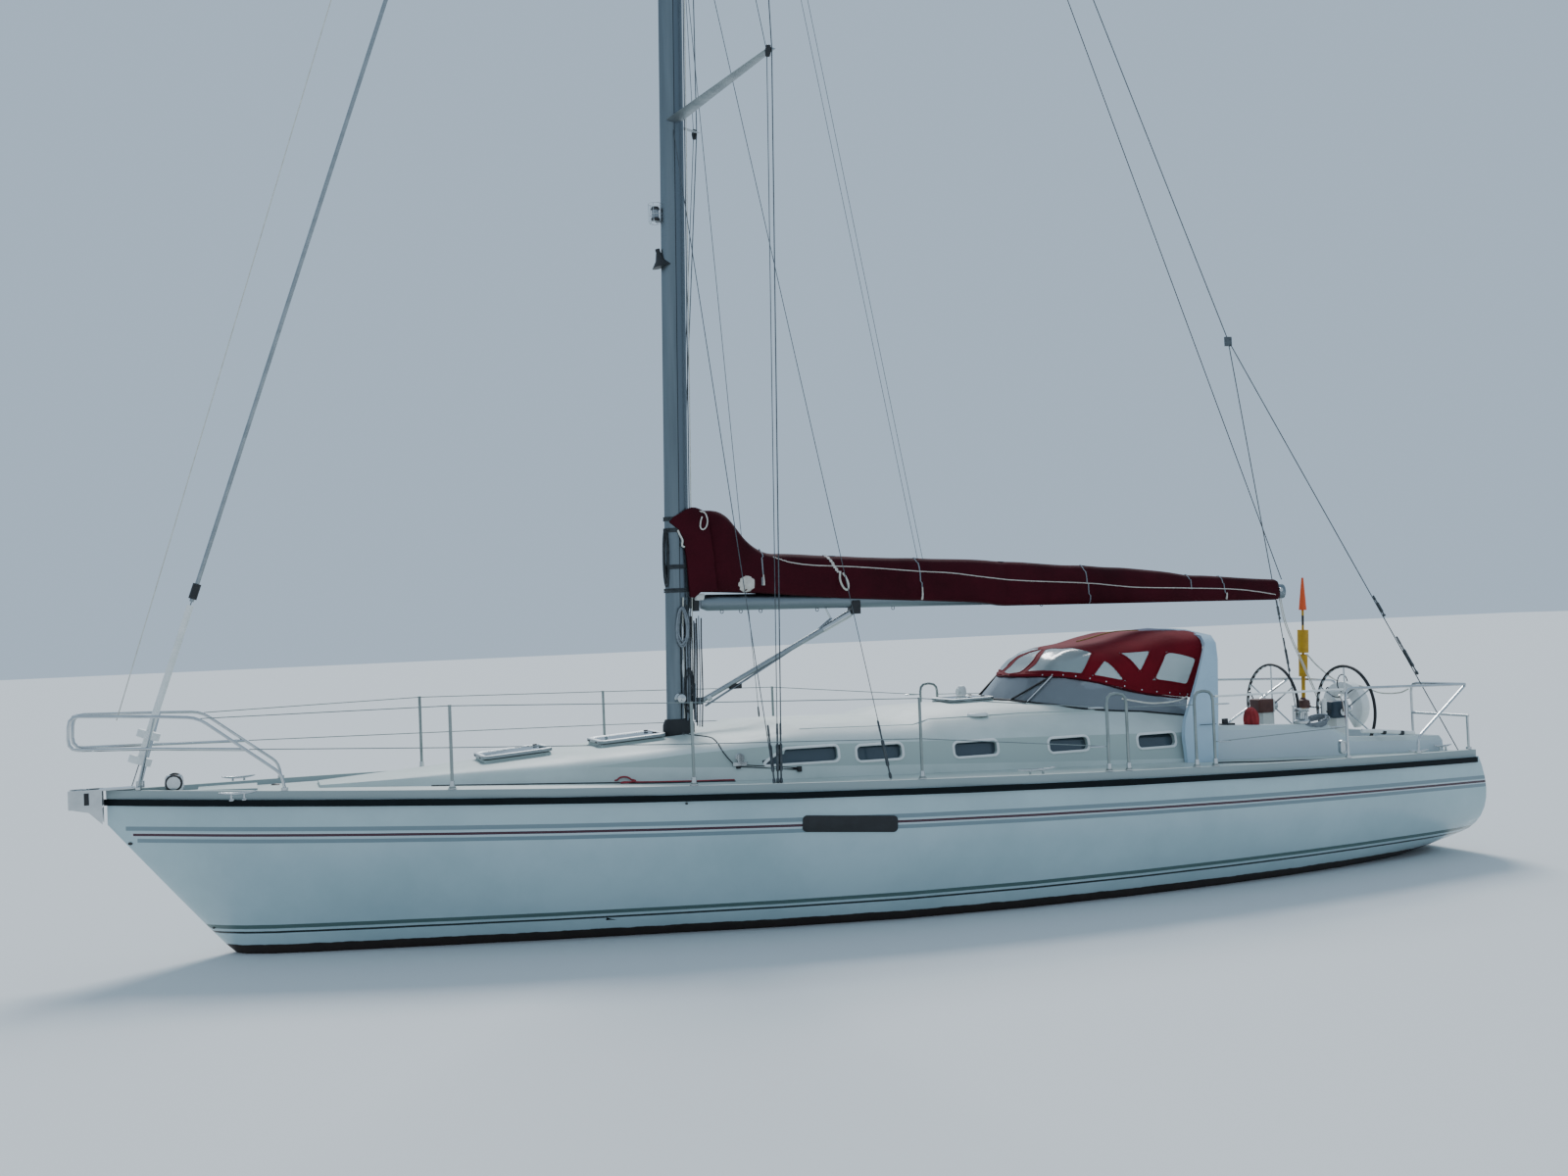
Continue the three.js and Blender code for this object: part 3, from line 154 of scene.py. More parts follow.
roofForm = {
    # station x, half width, ridge height, shoulder height
    "stations": np.array([
        [-4.33, 0.26, 1.268, 1.256], [-3.4, 0.56, 1.325, 1.285], [-2.5, 0.83, 1.39, 1.325],
        [-1.6, 1.08, 1.445, 1.41], [-0.9, 1.19, 1.516, 1.44], [-0.77, 1.1958, 1.556, 1.4357],
        [-0.45, 1.21, 1.553, 1.425],
        [0.2, 1.24, 1.535, 1.404], [0.38, 1.242, 1.53, 1.399], [0.52, 1.243, 1.592, 1.396],
        [1.4, 1.25, 1.61, 1.372], [2.95, 1.19, 1.61, 1.315]]),
    "shoulder": 0.1,
    "crown": ((0, 0), (0.3, 0.05), (0.58, 0.22), (0.8, 0.5)),
}
mastForm = {"footX": -1.39, "footZ": 1.56, "headX": -0.96, "headZ": 17.2, "long": 0.21, "wide": 0.125}
boomForm = {"pinX": -1.205, "pinZ": 2.57, "endX": 4.74, "endZ": 2.485, "high": 0.14}


def sheerAt(x):
    # parabola through the heights at the bow, amidships and the stern
    t = (np.asarray(x, float) - hullForm["bow"]) / (hullForm["stern"] - hullForm["bow"])
    fore = hullForm["bowHigh"] * (1 - t) * (1 - 2 * t)
    return fore + hullForm["midHigh"] * 4 * t * (1 - t) + hullForm["sternHigh"] * t * (2 * t - 1)


def halfBeamAt(x):
    # a power curve out to the widest station and another one in again
    t = np.clip((np.asarray(x, float) - hullForm["bow"]) / (hullForm["stern"] - hullForm["bow"]), 0, 1)
    w = hullForm["widest"]
    fore = 1 - np.maximum(1 - t / w, 0) ** hullForm["fullBow"]
    aft = 1 - hullForm["taper"] * (np.maximum(t - w, 0) / (1 - w)) ** hullForm["fullStern"]
    return hullForm["beam"] / 2 * np.where(t < w, fore, aft)


def keelLineAt(x):
    # raked stem blended into the bottom's curve by a hyperbola
    x = np.asarray(x, float)
    stem = hullForm["knuckle"] * (1 - (x - hullForm["bow"]) / hullForm["overhang"])
    reach = np.where(x < 0, hullForm["foreReach"], hullForm["aftReach"])
    bottom = -hullForm["depth"] * (1 - np.abs(x / reach) ** hullForm["curve"])
    return (stem + bottom + np.hypot(stem - bottom, hullForm["forefoot"])) / 2


def hullSideAt(x, z):
    # half width of the hull's side at a place along it and a height
    sections = hullForm["sections"]
    turn = np.interp(x, sections[:, 0], sections[:, 1])
    flat = np.interp(x, sections[:, 0], sections[:, 2])
    keel = keelLineAt(x)
    share = np.clip((z - keel) / (sheerAt(x) - keel), 0, 1)
    return halfBeamAt(x) * (1 - (1 - share) ** turn) ** (1 / flat)


def deckAt(x, y):
    # crowned deck, a little below the toe rail
    half = np.maximum(halfBeamAt(x), 0.001)
    crown = hullForm["camber"] * half / (hullForm["beam"] / 2) * (1 - np.minimum(1, (y / half) ** 2))
    return sheerAt(x) - hullForm["railDrop"] + crown


def roofSideAt(x):
    # half width, ridge and shoulder heights of the coachroof at a station
    s = roofForm["stations"]
    return tuple(np.interp(x, s[:, 0], s[:, k]) for k in (1, 2, 3))


def roofAt(x, y):
    # height of the coachroof's top: straight runs between the crown's shares
    half, ridge, shoulder = roofSideAt(x)
    share = np.abs(y) / half
    shares, drops = zip(*roofForm["crown"])
    edge = np.minimum(roofForm["shoulder"], half * 0.15)
    drop = np.interp(share, shares, drops) * (ridge - shoulder)
    last = ridge - (ridge - shoulder) * drops[-1]
    down = last + (shoulder + 0.005 - last) * (share - shares[-1]) / (1 - edge / half - shares[-1])
    return np.where(share <= shares[-1], ridge - drop, down)


def wallAt(x, z):
    # half width of the coachroof's side wall at a height: a slightly raked wall, then the shoulder
    half, _, shoulder = roofSideAt(x)
    edge = np.minimum(roofForm["shoulder"], half * 0.15)
    low = deckAt(x, half) - 0.02
    bend = shoulder - 0.035
    first = np.clip((z - low) / (bend - low), 0, 1)
    second = np.clip((z - bend) / 0.04, 0, 1)
    return half - edge / 2 * first - edge / 2 * second


def mastAt(z):
    rake = (mastForm["headX"] - mastForm["footX"]) / (mastForm["headZ"] - mastForm["footZ"])
    return mastForm["footX"] + rake * (z - mastForm["footZ"])


def boomAt(x):
    slope = (boomForm["endZ"] - boomForm["pinZ"]) / (boomForm["endX"] - boomForm["pinX"])
    return boomForm["pinZ"] + slope * (x - boomForm["pinX"])


# Mesh tools
def skin(points, around=True, caps=True):
    # quads over a grid of points [along, across]; the ends of a closed tube are filled
    points = np.asarray(points, float)
    m, n = points.shape[:2]
    cell = np.arange(m * n).reshape(m, n)
    if around:
        cell = np.concatenate([cell, cell[:, :1]], 1)
    quads = np.stack([cell[:-1, :-1], cell[:-1, 1:], cell[1:, 1:], cell[1:, :-1]], -1).reshape(-1, 4)
    faces = [tuple(q) for q in quads.tolist()]
    if around and caps:
        faces += [tuple(range(n - 1, -1, -1)), tuple(range((m - 1) * n, m * n))]
    return points.reshape(-1, 3), faces


def joined(parts):
    # several skins as one
    places, faces, start = [], [], 0
    for points, polygons in parts:
        places.append(points)
        faces += [tuple(i + start for i in polygon) for polygon in polygons]
        start += len(points)
    return np.concatenate(places), faces


def curved(points, count):
    # smooth run through points: each span is the cubic of its four nearest points
    p = np.asarray(points, float)
    p = np.concatenate([2 * p[:1] - p[1:2], p, 2 * p[-1:] - p[-2:-1]])
    t = np.linspace(0, len(p) - 3, count)
    i = np.minimum(t.astype(int), len(p) - 4)
    u = (t - i)[:, None]
    a, b, c, d = p[i], p[i + 1], p[i + 2], p[i + 3]
    return 0.5 * (2 * b + (c - a) * u + (2 * a - 5 * b + 4 * c - d) * u ** 2
                  + (3 * b - a - 3 * c + d) * u ** 3)


def sweep(path, profile, up=None):
    # a flat profile [out, up] carried along a path, square to it
    path = np.asarray(path, float)
    profile = np.asarray(profile, float)
    way = np.gradient(path, axis=0)
    way /= np.linalg.norm(way, axis=1, keepdims=True)
    if up is None:
        up = np.eye(3)[np.argmin(np.abs(way).max(0))]
    side = np.cross(way, up)
    side /= np.linalg.norm(side, axis=1, keepdims=True)
    rise = np.cross(side, way)
    return path[:, None] + side[:, None] * profile[None, :, :1] + rise[:, None] * profile[None, :, 1:]


def ringOf(radius, count, flat=1.0):
    # points of an ellipse
    angle = np.arange(count) * 2 * np.pi / count
    return np.stack([np.cos(angle) * radius, np.sin(angle) * radius * flat], 1)


def pipe(path, radius, count=8, caps=True):
    # round bar along a path; the radius may change along it
    radius = np.broadcast_to(radius, (len(path),))
    points = sweep(path, ringOf(1.0, count))
    centre = np.asarray(path, float)[:, None]
    return skin(centre + (points - centre) * radius[:, None, None], caps=caps)


def turned(profile, place, axis=(0, 0, 1), count=20):
    # a profile [radius, height] turned about an axis
    profile = np.asarray(profile, float)
    axis = Vector(axis).normalized()
    turn = np.array(Vector((0, 0, 1)).rotation_difference(axis).to_matrix())
    angle = np.arange(count) * 2 * np.pi / count
    r, h = profile[:, 0][:, None], profile[:, 1][:, None]
    points = np.stack([r * np.cos(angle), r * np.sin(angle), h + 0 * angle], -1)
    return skin(points @ turn.T + np.asarray(place, float))


def block(low, high, cut):
    # box with its upright edges cut back
    (x0, y0, z0), (x1, y1, z1) = low, high
    outline = [(x0 + cut, y0), (x1 - cut, y0), (x1, y0 + cut), (x1, y1 - cut),
               (x1 - cut, y1), (x0 + cut, y1), (x0, y1 - cut), (x0, y0 + cut)]
    return skin([[(x, y, z) for x, y in outline] for z in (z0, z1)])


def flipped(part):
    # the same part on the other side of the centreline
    points, faces = part
    return points * np.array([1, -1, 1]), [tuple(reversed(f)) for f in faces]


def makePiece(name, part, key, body="hull_body", crease=35, bevel=0.0):
    # a mesh object of one part or a list of them, in its finish, with soft shading up to the crease angle;
    # it rides on its body where it has one
    points, faces = joined(part) if isinstance(part, list) else part
    mesh = bpy.data.meshes.new(name)
    mesh.from_pydata(points.tolist(), [], faces)
    mesh.update()
    piece = bpy.data.objects.new(name, mesh)
    bpy.context.scene.collection.objects.link(piece)
    mesh.materials.append(finish[key])
    mesh.shade_smooth()
    mesh.set_sharp_from_angle(angle=math.radians(crease))
    if bevel:
        cutEdges = piece.modifiers.new("edges", "BEVEL")
        cutEdges.width, cutEdges.segments, cutEdges.angle_limit = bevel, 2, math.radians(40)
    if body:
        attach(piece, body)
    return piece


def thicken(piece, thick, offset):
    # gives a cloth or sheet its thickness: offset -1 inwards, 0 both ways, 1 outwards
    shell = piece.modifiers.new("thickness", "SOLIDIFY")
    shell.thickness, shell.offset = thick, offset


def closedRun(points):
    # the same run with its first point or row again at its end
    return np.concatenate([points, points[:1]])


def outward(part):
    # the same part with its faces turned outwards, for shapes whose winding isn't known
    points, faces = part
    mesh = bpy.data.meshes.new("turning")
    mesh.from_pydata(points.tolist(), [], faces)
    shell = bmesh.new()
    shell.from_mesh(mesh)
    bmesh.ops.recalc_face_normals(shell, faces=shell.faces)
    shell.to_mesh(mesh)
    shell.free()
    turnedFaces = [tuple(polygon.vertices) for polygon in mesh.polygons]
    bpy.data.meshes.remove(mesh)
    return points, turnedFaces


def outwardAll(parts):
    return [outward(part) for part in parts]


print("tools are ready")

# Materials, each started from what the real one is
def startMaterial(name, hexText, roughness, metallic=0.0):
    material = bpy.data.materials.new(name)
    material.use_nodes = True
    tree = material.node_tree
    shader = tree.nodes["Principled BSDF"]
    feed(shader, {"Base Color": linearRgb(hexText), "Roughness": roughness, "Metallic": metallic})
    place = addNode(tree, "TexCoord").outputs["Object"]
    return material, tree, shader, place


def weathered(start, hexText, hexWorn, roughness, patch=400, grain=6, relief=0.15, stretch=(1, 1, 1)):
    # cloudy wear in colour and gloss, patch mm across, over a fine grain that is relief mm deep
    material, tree, shader, place = start
    spread = addNode(tree, "Mapping", {"Vector": place, "Scale": stretch})
    cloud = addNode(tree, "TexNoise",
                    {"Vector": spread, "Scale": 1000 / patch, "Detail": 5, "Roughness": 0.6})
    soft = addNode(tree, "MapRange", {0: cloud, 1: 0.38, 2: 0.72, 3: 0, 4: 1})
    colour = addNode(tree, "Mix", {0: soft, 6: linearRgb(hexText), 7: linearRgb(hexWorn)},
                     data_type="RGBA")
    gloss = addNode(tree, "MapRange", {0: cloud, 3: roughness[0], 4: roughness[1]})
    fine = addNode(tree, "TexNoise", {"Vector": spread, "Scale": 1000 / grain, "Detail": 3})
    bump = addNode(tree, "Bump", {"Strength": 0.5, "Distance": relief / 1000, "Height": fine})
    feed(shader, {"Base Color": colour, "Roughness": gloss, "Normal": bump})
    return material, tree, shader, place


# name of the real material, colour, worn colour, low and high roughness, metallic, patch mm, grain mm,
# relief mm
plainFinishes = {
    # moulded gelcoat: an even satin white that greys a little in patches
    "gelcoat": ("moulded white gelcoat", "#dfe3de", "#cfd5d0", (0.22, 0.38), 0, 700, 40, 0.2),
    # the arch is a separate moulding and reads bluer
    "archGelcoat": ("moulded cool white gelcoat", "#b4cddc", "#a3bccb", (0.2, 0.34), 0, 500, 40, 0.2),
    "strakeRubber": ("extruded weathered rubber", "#070f12", "#0f191c", (0.5, 0.7), 0, 260, 5, 0.3),
    "antifoul": ("rolled antifouling paint", "#2a1a15", "#3a2a1f", (0.75, 0.95), 0, 300, 8, 0.6),
    # tube polished after welding: bright, with faint drawn streaks
    "polishedSteel": ("polished stainless steel", "#c9cdce", "#b4b9bb", (0.12, 0.26), 1, 200, 3, 0.02),
    "wire": ("stranded stainless wire", "#6b7174", "#4c5154", (0.35, 0.55), 1, 60, 4, 0.5),
    # bottlescrews and their pins, dulled by salt
    "dullSteel": ("weathered stainless steel", "#5c6265", "#454a4d", (0.3, 0.5), 1, 40, 3, 0.1),
    "bronze": ("cast bronze", "#8e7440", "#6b5a36", (0.35, 0.6), 1, 60, 3, 0.2),
    "blackPlastic": ("moulded black nylon", "#191a1c", "#26282a", (0.4, 0.6), 0, 80, 2, 0.1),
    "whitePlastic": ("moulded white plastic", "#f0f1ee", "#e2e4df", (0.3, 0.5), 0, 120, 2, 0.05),
    "fleckRope": ("braided grey polyester", "#8d949a", "#6f767c", (0.75, 0.9), 0, 60, 5, 1.2),
    "whiteRope": ("braided white polyester", "#dedcd2", "#c2bfb2", (0.75, 0.9), 0, 60, 5, 1.2),
    "redRope": ("braided red polyester", "#a5333d", "#7f2831", (0.75, 0.9), 0, 60, 5, 1.2),
    "darkRope": ("braided dark polyester", "#2a2d30", "#43474a", (0.75, 0.9), 0, 60, 5, 1.2),
    "leather": ("stitched black leather", "#17181a", "#25262a", (0.45, 0.65), 0, 40, 3, 0.3),
    "enamel": ("enamelled cast iron", "#7d8284", "#62676a", (0.35, 0.55), 0, 90, 5, 0.3),
    "redCloth": ("faded red cotton", "#a32f33", "#7d2226", (0.85, 0.95), 0, 60, 4, 0.8),
    "goldTape": ("woven gold binding", "#b08d4a", "#8f7038", (0.75, 0.9), 0, 40, 3, 0.6),
    "tapeWhite": ("woven white webbing", "#d9d3ca", "#bfb7ad", (0.8, 0.92), 0, 40, 3, 0.6),
    "seal": ("black rubber seal", "#121314", "#1d1f20", (0.5, 0.7), 0, 60, 2, 0.1),
    "blueCase": ("painted blue grey case", "#2c3f4c", "#22323d", (0.3, 0.5), 0, 80, 2, 0.1),
    "brownCase": ("red brown vinyl hood", "#5f3a33", "#4a2c27", (0.5, 0.7), 0, 80, 2, 0.1),
    "railSteel": ("dulled stainless tube", "#98a19f", "#7e8785", (0.25, 0.4), 1, 200, 3, 0.03),
}
finish = {}
for key, (name, clean, worn, gloss, metal, patch, grain, relief) in plainFinishes.items():
    start = startMaterial(name, clean, gloss[0], metal)
    finish[key], _, shader, _ = weathered(start, clean, worn, gloss, patch, grain, relief)
    # rubber and matt paint have little sheen
    if key in ("strakeRubber", "antifoul"):
        feed(shader, {"Specular IOR Level": 0.15})

hullStripes = {
    # drop under the rail's top amidships, how much it closes aft per metre, half width, colour, start x
    "topGrey": (0.273, 0.0030, 0.0165, "#7a8f96", -5.74),
    "pale": (0.3165, 0.0038, 0.0165, "#c8d3d8", -5.70),
    "red": (0.3165, 0.0038, 0.0105, "#3f1528", -5.69),
    "lowGrey": (0.3565, 0.0048, 0.0150, "#7a8f96", -5.66),
    # boot stripes: height over the water, half height, colour
    "boot": (0.226, 0.0160, "#4f6864"),
    "bootLine": (0.181, 0.0085, "#161f1e"),
    "antifoulTop": 0.078,
}


def makeHullGelcoat():
    # moulded white topsides, tinted pale blue-green as painted reflection of the water and sky, with let-in
    # stripes that follow the sheer, over dark antifouling at the waterline
    started = startMaterial("moulded topsides gelcoat", "#b9cfd3", 0.2)
    material, tree, shader, place = weathered(started, "#b9cfd3", "#a9c1c5", (0.14, 0.26), 900, 300, 0.5)
    colour = shader.inputs["Base Color"].links[0].from_socket
    axes = addNode(tree, "SeparateXYZ", {0: place})
    x, z = axes.outputs[0], axes.outputs[2]
    # the sheer as a parabola in x, from its heights at the ends and the middle
    places = [hullForm["bow"], 0, hullForm["stern"]]
    curve = np.polyfit(places, sheerAt(places), 2)
    bend = addNode(tree, "Math", {0: x, 1: float(curve[0]), 2: float(curve[1])},
                   operation="MULTIPLY_ADD")
    sheer = addNode(tree, "Math", {0: bend, 1: x, 2: float(curve[2])},
                    operation="MULTIPLY_ADD")
    drop = addNode(tree, "Math", {0: sheer, 1: z}, operation="SUBTRACT")
    for key in ("topGrey", "lowGrey", "pale", "red"):
        down, closing, half, hexText, start = hullStripes[key]
        level = addNode(tree, "Math", {0: x, 1: closing, 2: drop}, operation="MULTIPLY_ADD")
        on = addNode(tree, "Math", {0: level, 1: down, 2: half}, operation="COMPARE")
        begun = addNode(tree, "Math", {0: x, 1: start}, operation="GREATER_THAN")
        share = addNode(tree, "Math", {0: on, 1: begun}, operation="MULTIPLY")
        colour = addNode(tree, "Mix", {0: share, 6: colour, 7: linearRgb(hexText)},
                         data_type="RGBA")
    for key in ("boot", "bootLine"):
        high, half, hexText = hullStripes[key]
        on = addNode(tree, "Math", {0: z, 1: high, 2: half}, operation="COMPARE")
        colour = addNode(tree, "Mix", {0: on, 6: colour, 7: linearRgb(hexText)},
                         data_type="RGBA")
    # the paint's edge is uneven, with scum just above the water
    ragged = addNode(tree, "TexNoise", {"Vector": place, "Scale": 9, "Detail": 4})
    edge = addNode(tree, "Math", {0: ragged, 1: 0.02, 2: z}, operation="MULTIPLY_ADD")
    below = addNode(tree, "MapRange", {0: edge, 1: hullStripes["antifoulTop"] + 0.013,
                                                 2: hullStripes["antifoulTop"] + 0.007, 3: 0, 4: 1})
    paint = addNode(tree, "Mix",
                    {0: ragged, 6: linearRgb("#1c120e"), 7: linearRgb("#33231a")}, data_type="RGBA")
    colour = addNode(tree, "Mix", {0: below, 6: colour, 7: paint},
                     data_type="RGBA")
    gloss = shader.inputs["Roughness"].links[0].from_socket
    dull = addNode(tree, "Mix", {0: below, 2: gloss, 3: 0.85}, data_type="FLOAT")
    feed(shader, {"Base Color": colour, "Roughness": dull})
    feed(shader, {"Coat Weight": 0.25, "Coat Roughness": 0.08})
    return material


def makeDeckGelcoat(name, clean, worn, wall, low):
    # moulded gelcoat with a non-skid of small pyramids on what faces up, drawn 12 mm wide instead of 3 mm
    # to show; wall is a darker colour laid on upright faces as painted shade, and low is where it begins
    started = startMaterial(name, clean, 0.5)
    material, tree, shader, place = weathered(started, clean, worn, (0.4, 0.6), 500, 20, 0.2)
    cells = addNode(tree, "TexVoronoi", {"Vector": place, "Scale": 1000 / 12, "Randomness": 0.15})
    up = addNode(tree, "SeparateXYZ", {0: addNode(tree, "NewGeometry").outputs["True Normal"]})
    flat = addNode(tree, "MapRange", {0: up.outputs[2], 1: 0.93, 2: 0.97, 3: 0, 4: 1})
    height = addNode(tree, "Math", {0: cells, 1: flat}, operation="MULTIPLY")
    bump = addNode(tree, "Bump", {"Strength": 0.35, "Distance": 0.002, "Height": height})
    feed(shader, {"Normal": bump})
    plain = shader.inputs["Base Color"].links[0].from_socket
    tint = addNode(tree, "Mix", {0: flat, 6: (1, 1, 1, 1), 7: (0.93, 0.94, 0.92, 1)},
                   data_type="RGBA")
    colour = addNode(tree, "Mix", {0: 1.0, 6: plain, 7: tint}, data_type="RGBA",
                     blend_type="MULTIPLY")
    # upright walls get a darker colour as painted shade, for the less light that falls on them, with a straight
    # lower edge
    upright = addNode(tree, "MapRange", {0: up.outputs[2], 1: 0.30, 2: 0.36, 3: 1, 4: 0})
    axes = addNode(tree, "SeparateXYZ", {0: place})
    level = addNode(tree, "Math", {0: axes.outputs[0], 1: 0.0477, 2: axes.outputs[2]},
                    operation="MULTIPLY_ADD")
    above = addNode(tree, "Math", {0: level, 1: low}, operation="GREATER_THAN")
    paintedShade = addNode(tree, "Math", {0: upright.outputs[0], 1: above}, operation="MULTIPLY")
    colour = addNode(tree, "Mix", {0: paintedShade, 6: colour, 7: linearRgb(wall)},
                     data_type="RGBA")
    feed(shader, {"Base Color": colour})
    return material


def makeAlloy(name, clean, worn, groove=None):
    # extruded and anodised: drawn streaks along its length; the mast has a dark seam along each side
    material, tree, shader, place = weathered(
        startMaterial(name, clean, 0.4, 1.0), clean, worn, (0.34, 0.5), 90, 6, 0.05,
        stretch=(1, 1, 0.05) if groove else (0.05, 1, 1))
    if groove:
        axes = addNode(tree, "SeparateXYZ", {0: place})
        rake = (mastForm["headX"] - mastForm["footX"]) / (mastForm["headZ"] - mastForm["footZ"])
        along = addNode(tree, "Math", {0: axes.outputs[2], 1: -rake, 2: axes.outputs[0]},
                        operation="MULTIPLY_ADD")
        seam = addNode(tree, "Math", {0: along, 1: mastAt(0.0) + groove, 2: 0.006},
                       operation="COMPARE")
        plain = shader.inputs["Base Color"].links[0].from_socket
        colour = addNode(tree, "Mix", {0: seam, 6: plain, 7: linearRgb("#2a2d30")},
                         data_type="RGBA")
        # behind the seam the side is duller, where ropes have rubbed it
        back = addNode(tree, "Math", {0: along, 1: mastAt(0.0) + groove},
                       operation="GREATER_THAN")
        dull = addNode(tree, "Mix", {0: back, 6: colour, 7: linearRgb("#6b767e")},
                       data_type="RGBA")
        feed(shader, {"Base Color": dull})
    return material


def makeCanvas(name, clean, worn):
    # woven acrylic canvas: matt and faded in patches, with a plain weave drawn at 5 mm instead of 0.6 mm
    # to show
    started = startMaterial(name, clean, 0.85)
    material, tree, shader, place = weathered(started, clean, worn, (0.78, 0.92), 500, 30, 0.5)
    heights = []
    thread = 5
    for axis in ("X", "Z"):
        threads = addNode(tree, "TexWave", {"Vector": place, "Scale": 1000 / thread / 6.2832 * 2},
                          wave_type="BANDS", bands_direction=axis)
        heights.append(threads.outputs[1])
    weave = addNode(tree, "Math", {0: heights[0], 1: heights[1]}, operation="ADD")
    crease = addNode(tree, "TexNoise", {"Vector": place, "Scale": 9, "Detail": 3, "Distortion": 0.6})
    first = addNode(tree, "Bump", {"Strength": 0.25, "Distance": 0.0006, "Height": weave})
    second = addNode(tree, "Bump",
                     {"Strength": 0.35, "Distance": 0.012, "Height": crease, "Normal": first})
    feed(shader, {"Normal": second, "Specular IOR Level": 0.2})
    return material


def makeClear(name, hexText, roughness, through, ripple):
    # cast or rolled clear sheet: its own tint, with slow ripples, ripple mm deep
    material, tree, shader, place = startMaterial(name, hexText, roughness)
    feed(shader, {"Transmission Weight": through, "IOR": 1.49})
    waves = addNode(tree, "TexNoise", {"Vector": place, "Scale": 6, "Detail": 2})
    bump = addNode(tree, "Bump", {"Strength": 0.4, "Distance": ripple / 1000, "Height": waves})
    feed(shader, {"Normal": bump})
    haze = addNode(tree, "MapRange", {0: waves, 3: roughness * 0.6, 4: roughness * 1.6})
    feed(shader, {"Roughness": haze})
    return material


def makeTeak():
    # oiled teak: long grain along X in planks 45 mm wide with dark caulking between
    material, tree, shader, place = weathered(
        startMaterial("oiled teak", "#8b6844", 0.6), "#94704b", "#6e5034", (0.5, 0.7), 60, 5, 0.3,
        stretch=(0.08, 1, 1))
    axes = addNode(tree, "SeparateXYZ", {0: place})
    across = addNode(tree, "Math", {0: axes.outputs[1], 1: 0.045}, operation="PINGPONG")
    seam = addNode(tree, "Math", {0: across, 1: 0.0025}, operation="LESS_THAN")
    plain = shader.inputs["Base Color"].links[0].from_socket
    colour = addNode(tree, "Mix", {0: seam, 6: plain, 7: linearRgb("#1e1b18")}, data_type="RGBA")
    feed(shader, {"Base Color": colour})
    return material


def makeFloatPlastic():
    # danbuoy: yellow foam below, orange flag above
    material, tree, shader, place = weathered(
        startMaterial("moulded yellow foam", "#c99a0a", 0.6), "#cd9d0a", "#a97c08", (0.5, 0.7), 90, 6, 0.4)
    axes = addNode(tree, "SeparateXYZ", {0: place})
    flag = addNode(tree, "Math", {0: axes.outputs[2], 1: 2.285}, operation="GREATER_THAN")
    dark = addNode(tree, "Math", {0: axes.outputs[2], 1: 2.18, 2: 0.05}, operation="COMPARE")
    plain = shader.inputs["Base Color"].links[0].from_socket
    banded = addNode(tree, "Mix", {0: dark, 6: plain, 7: linearRgb("#2b2412")}, data_type="RGBA")
    colour = addNode(tree, "Mix", {0: flag, 6: banded, 7: linearRgb("#e2551b")},
                     data_type="RGBA")
    feed(shader, {"Base Color": colour})
    return material


finish["hull"] = makeHullGelcoat()
# the fourth colour of each gelcoat is painted shade on its upright faces
finish["deck"] = makeDeckGelcoat("moulded non-skid gelcoat", "#c3cecb", "#b3c0bb", "#98a6a6", 0.0)
finish["coaming"] = makeDeckGelcoat("moulded cockpit gelcoat", "#c9d3d2", "#bac6c4", "#c6d1d6", 0.0)
finish["roof"] = makeDeckGelcoat("moulded roof gelcoat", "#cbd6d2", "#bcc8c3", "#b1bfba", 1.196)
finish["mast"] = makeAlloy("anodised mast extrusion", "#7b868c", "#69747a", groove=0.012)
finish["alloy"] = makeAlloy("anodised alloy", "#a4abae", "#8f979b")
finish["boom"] = makeAlloy("anodised boom extrusion", "#818c92", "#6f7a80")
# the cover's cloth is darkened as painted shade, for the shade it hangs in; the hood has faded to a brighter
# red
finish["canvas"] = makeCanvas("woven burgundy acrylic canvas", "#430414", "#2f030d")
finish["hoodCanvas"] = makeCanvas("faded burgundy acrylic canvas", "#760a1b", "#5e0816")
finish["vinyl"] = makeClear("rolled clear vinyl", "#bccacb", 0.16, 0.55, 2.5)
finish["screen"] = makeClear("cast tinted acrylic", "#9ba4ab", 0.05, 0.5, 0.4)
finish["acrylic"] = makeClear("cast smoked acrylic", "#4d5c66", 0.05, 0.15, 0.6)
finish["teak"] = makeTeak()
finish["float"] = makeFloatPlastic()

nodeFinish = {
    # finish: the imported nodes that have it; a name ending in _ stands for port and starboard
    "hull": ("hull",), "deck": ("deck", "anchor_locker_lid"), "roof": ("coachroof",), "coaming": ("cockpit",),
    "gelcoat": ("pedestal_",), "archGelcoat": ("arch",), "strakeRubber": ("rubbing_strake",),
    "antifoul": ("keel", "rudder", "sail_drive"), "bronze": ("propeller",), "enamel": ("engine",),
    "teak": ("seat_locker_lid_", "washboard"), "screen": ("windscreen",), "hoodCanvas": ("spray_hood",),
    "acrylic": ("fore_hatch_lid", "mast_hatch_lid", "saloon_hatch_lid", "companion_hatch", "cabin_windows_"),
    "mast": ("mast",), "blackPlastic": ("mast_collar", "halyard_swivel", "gooseneck"),
    "alloy": ("spreader_lower_", "spreader_upper_", "furling_foil", "kicker"),
    "wire": ("cap_shroud_", "forestay", "backstay"), "whitePlastic": ("furler_drum", "lifebuoy"),
    "boom": ("boom",), "canvas": ("sail_cover",), "railSteel": ("guard_rail_",), "float": ("danbuoy",),
    "polishedSteel": ("pulpit", "pushpit_", "wheel_", "bow_roller", "windlass", "winch_"),
}


def dressNode(node, material):
    # its material, and soft shading between edges of less than 34 degrees
    node.data.materials.clear()
    node.data.materials.append(material)
    node.data.shade_smooth()
    node.modifiers.new("weld", "WELD").merge_threshold = 0.0002
    node.modifiers.new("split", "EDGE_SPLIT").split_angle = math.radians(34)


for key, names in nodeFinish.items():
    for name in names:
        for side in ("port", "starboard") if name.endswith("_") else ("",):
            dressNode(nodes[name + side], finish[key])
print("materials are on the solids")

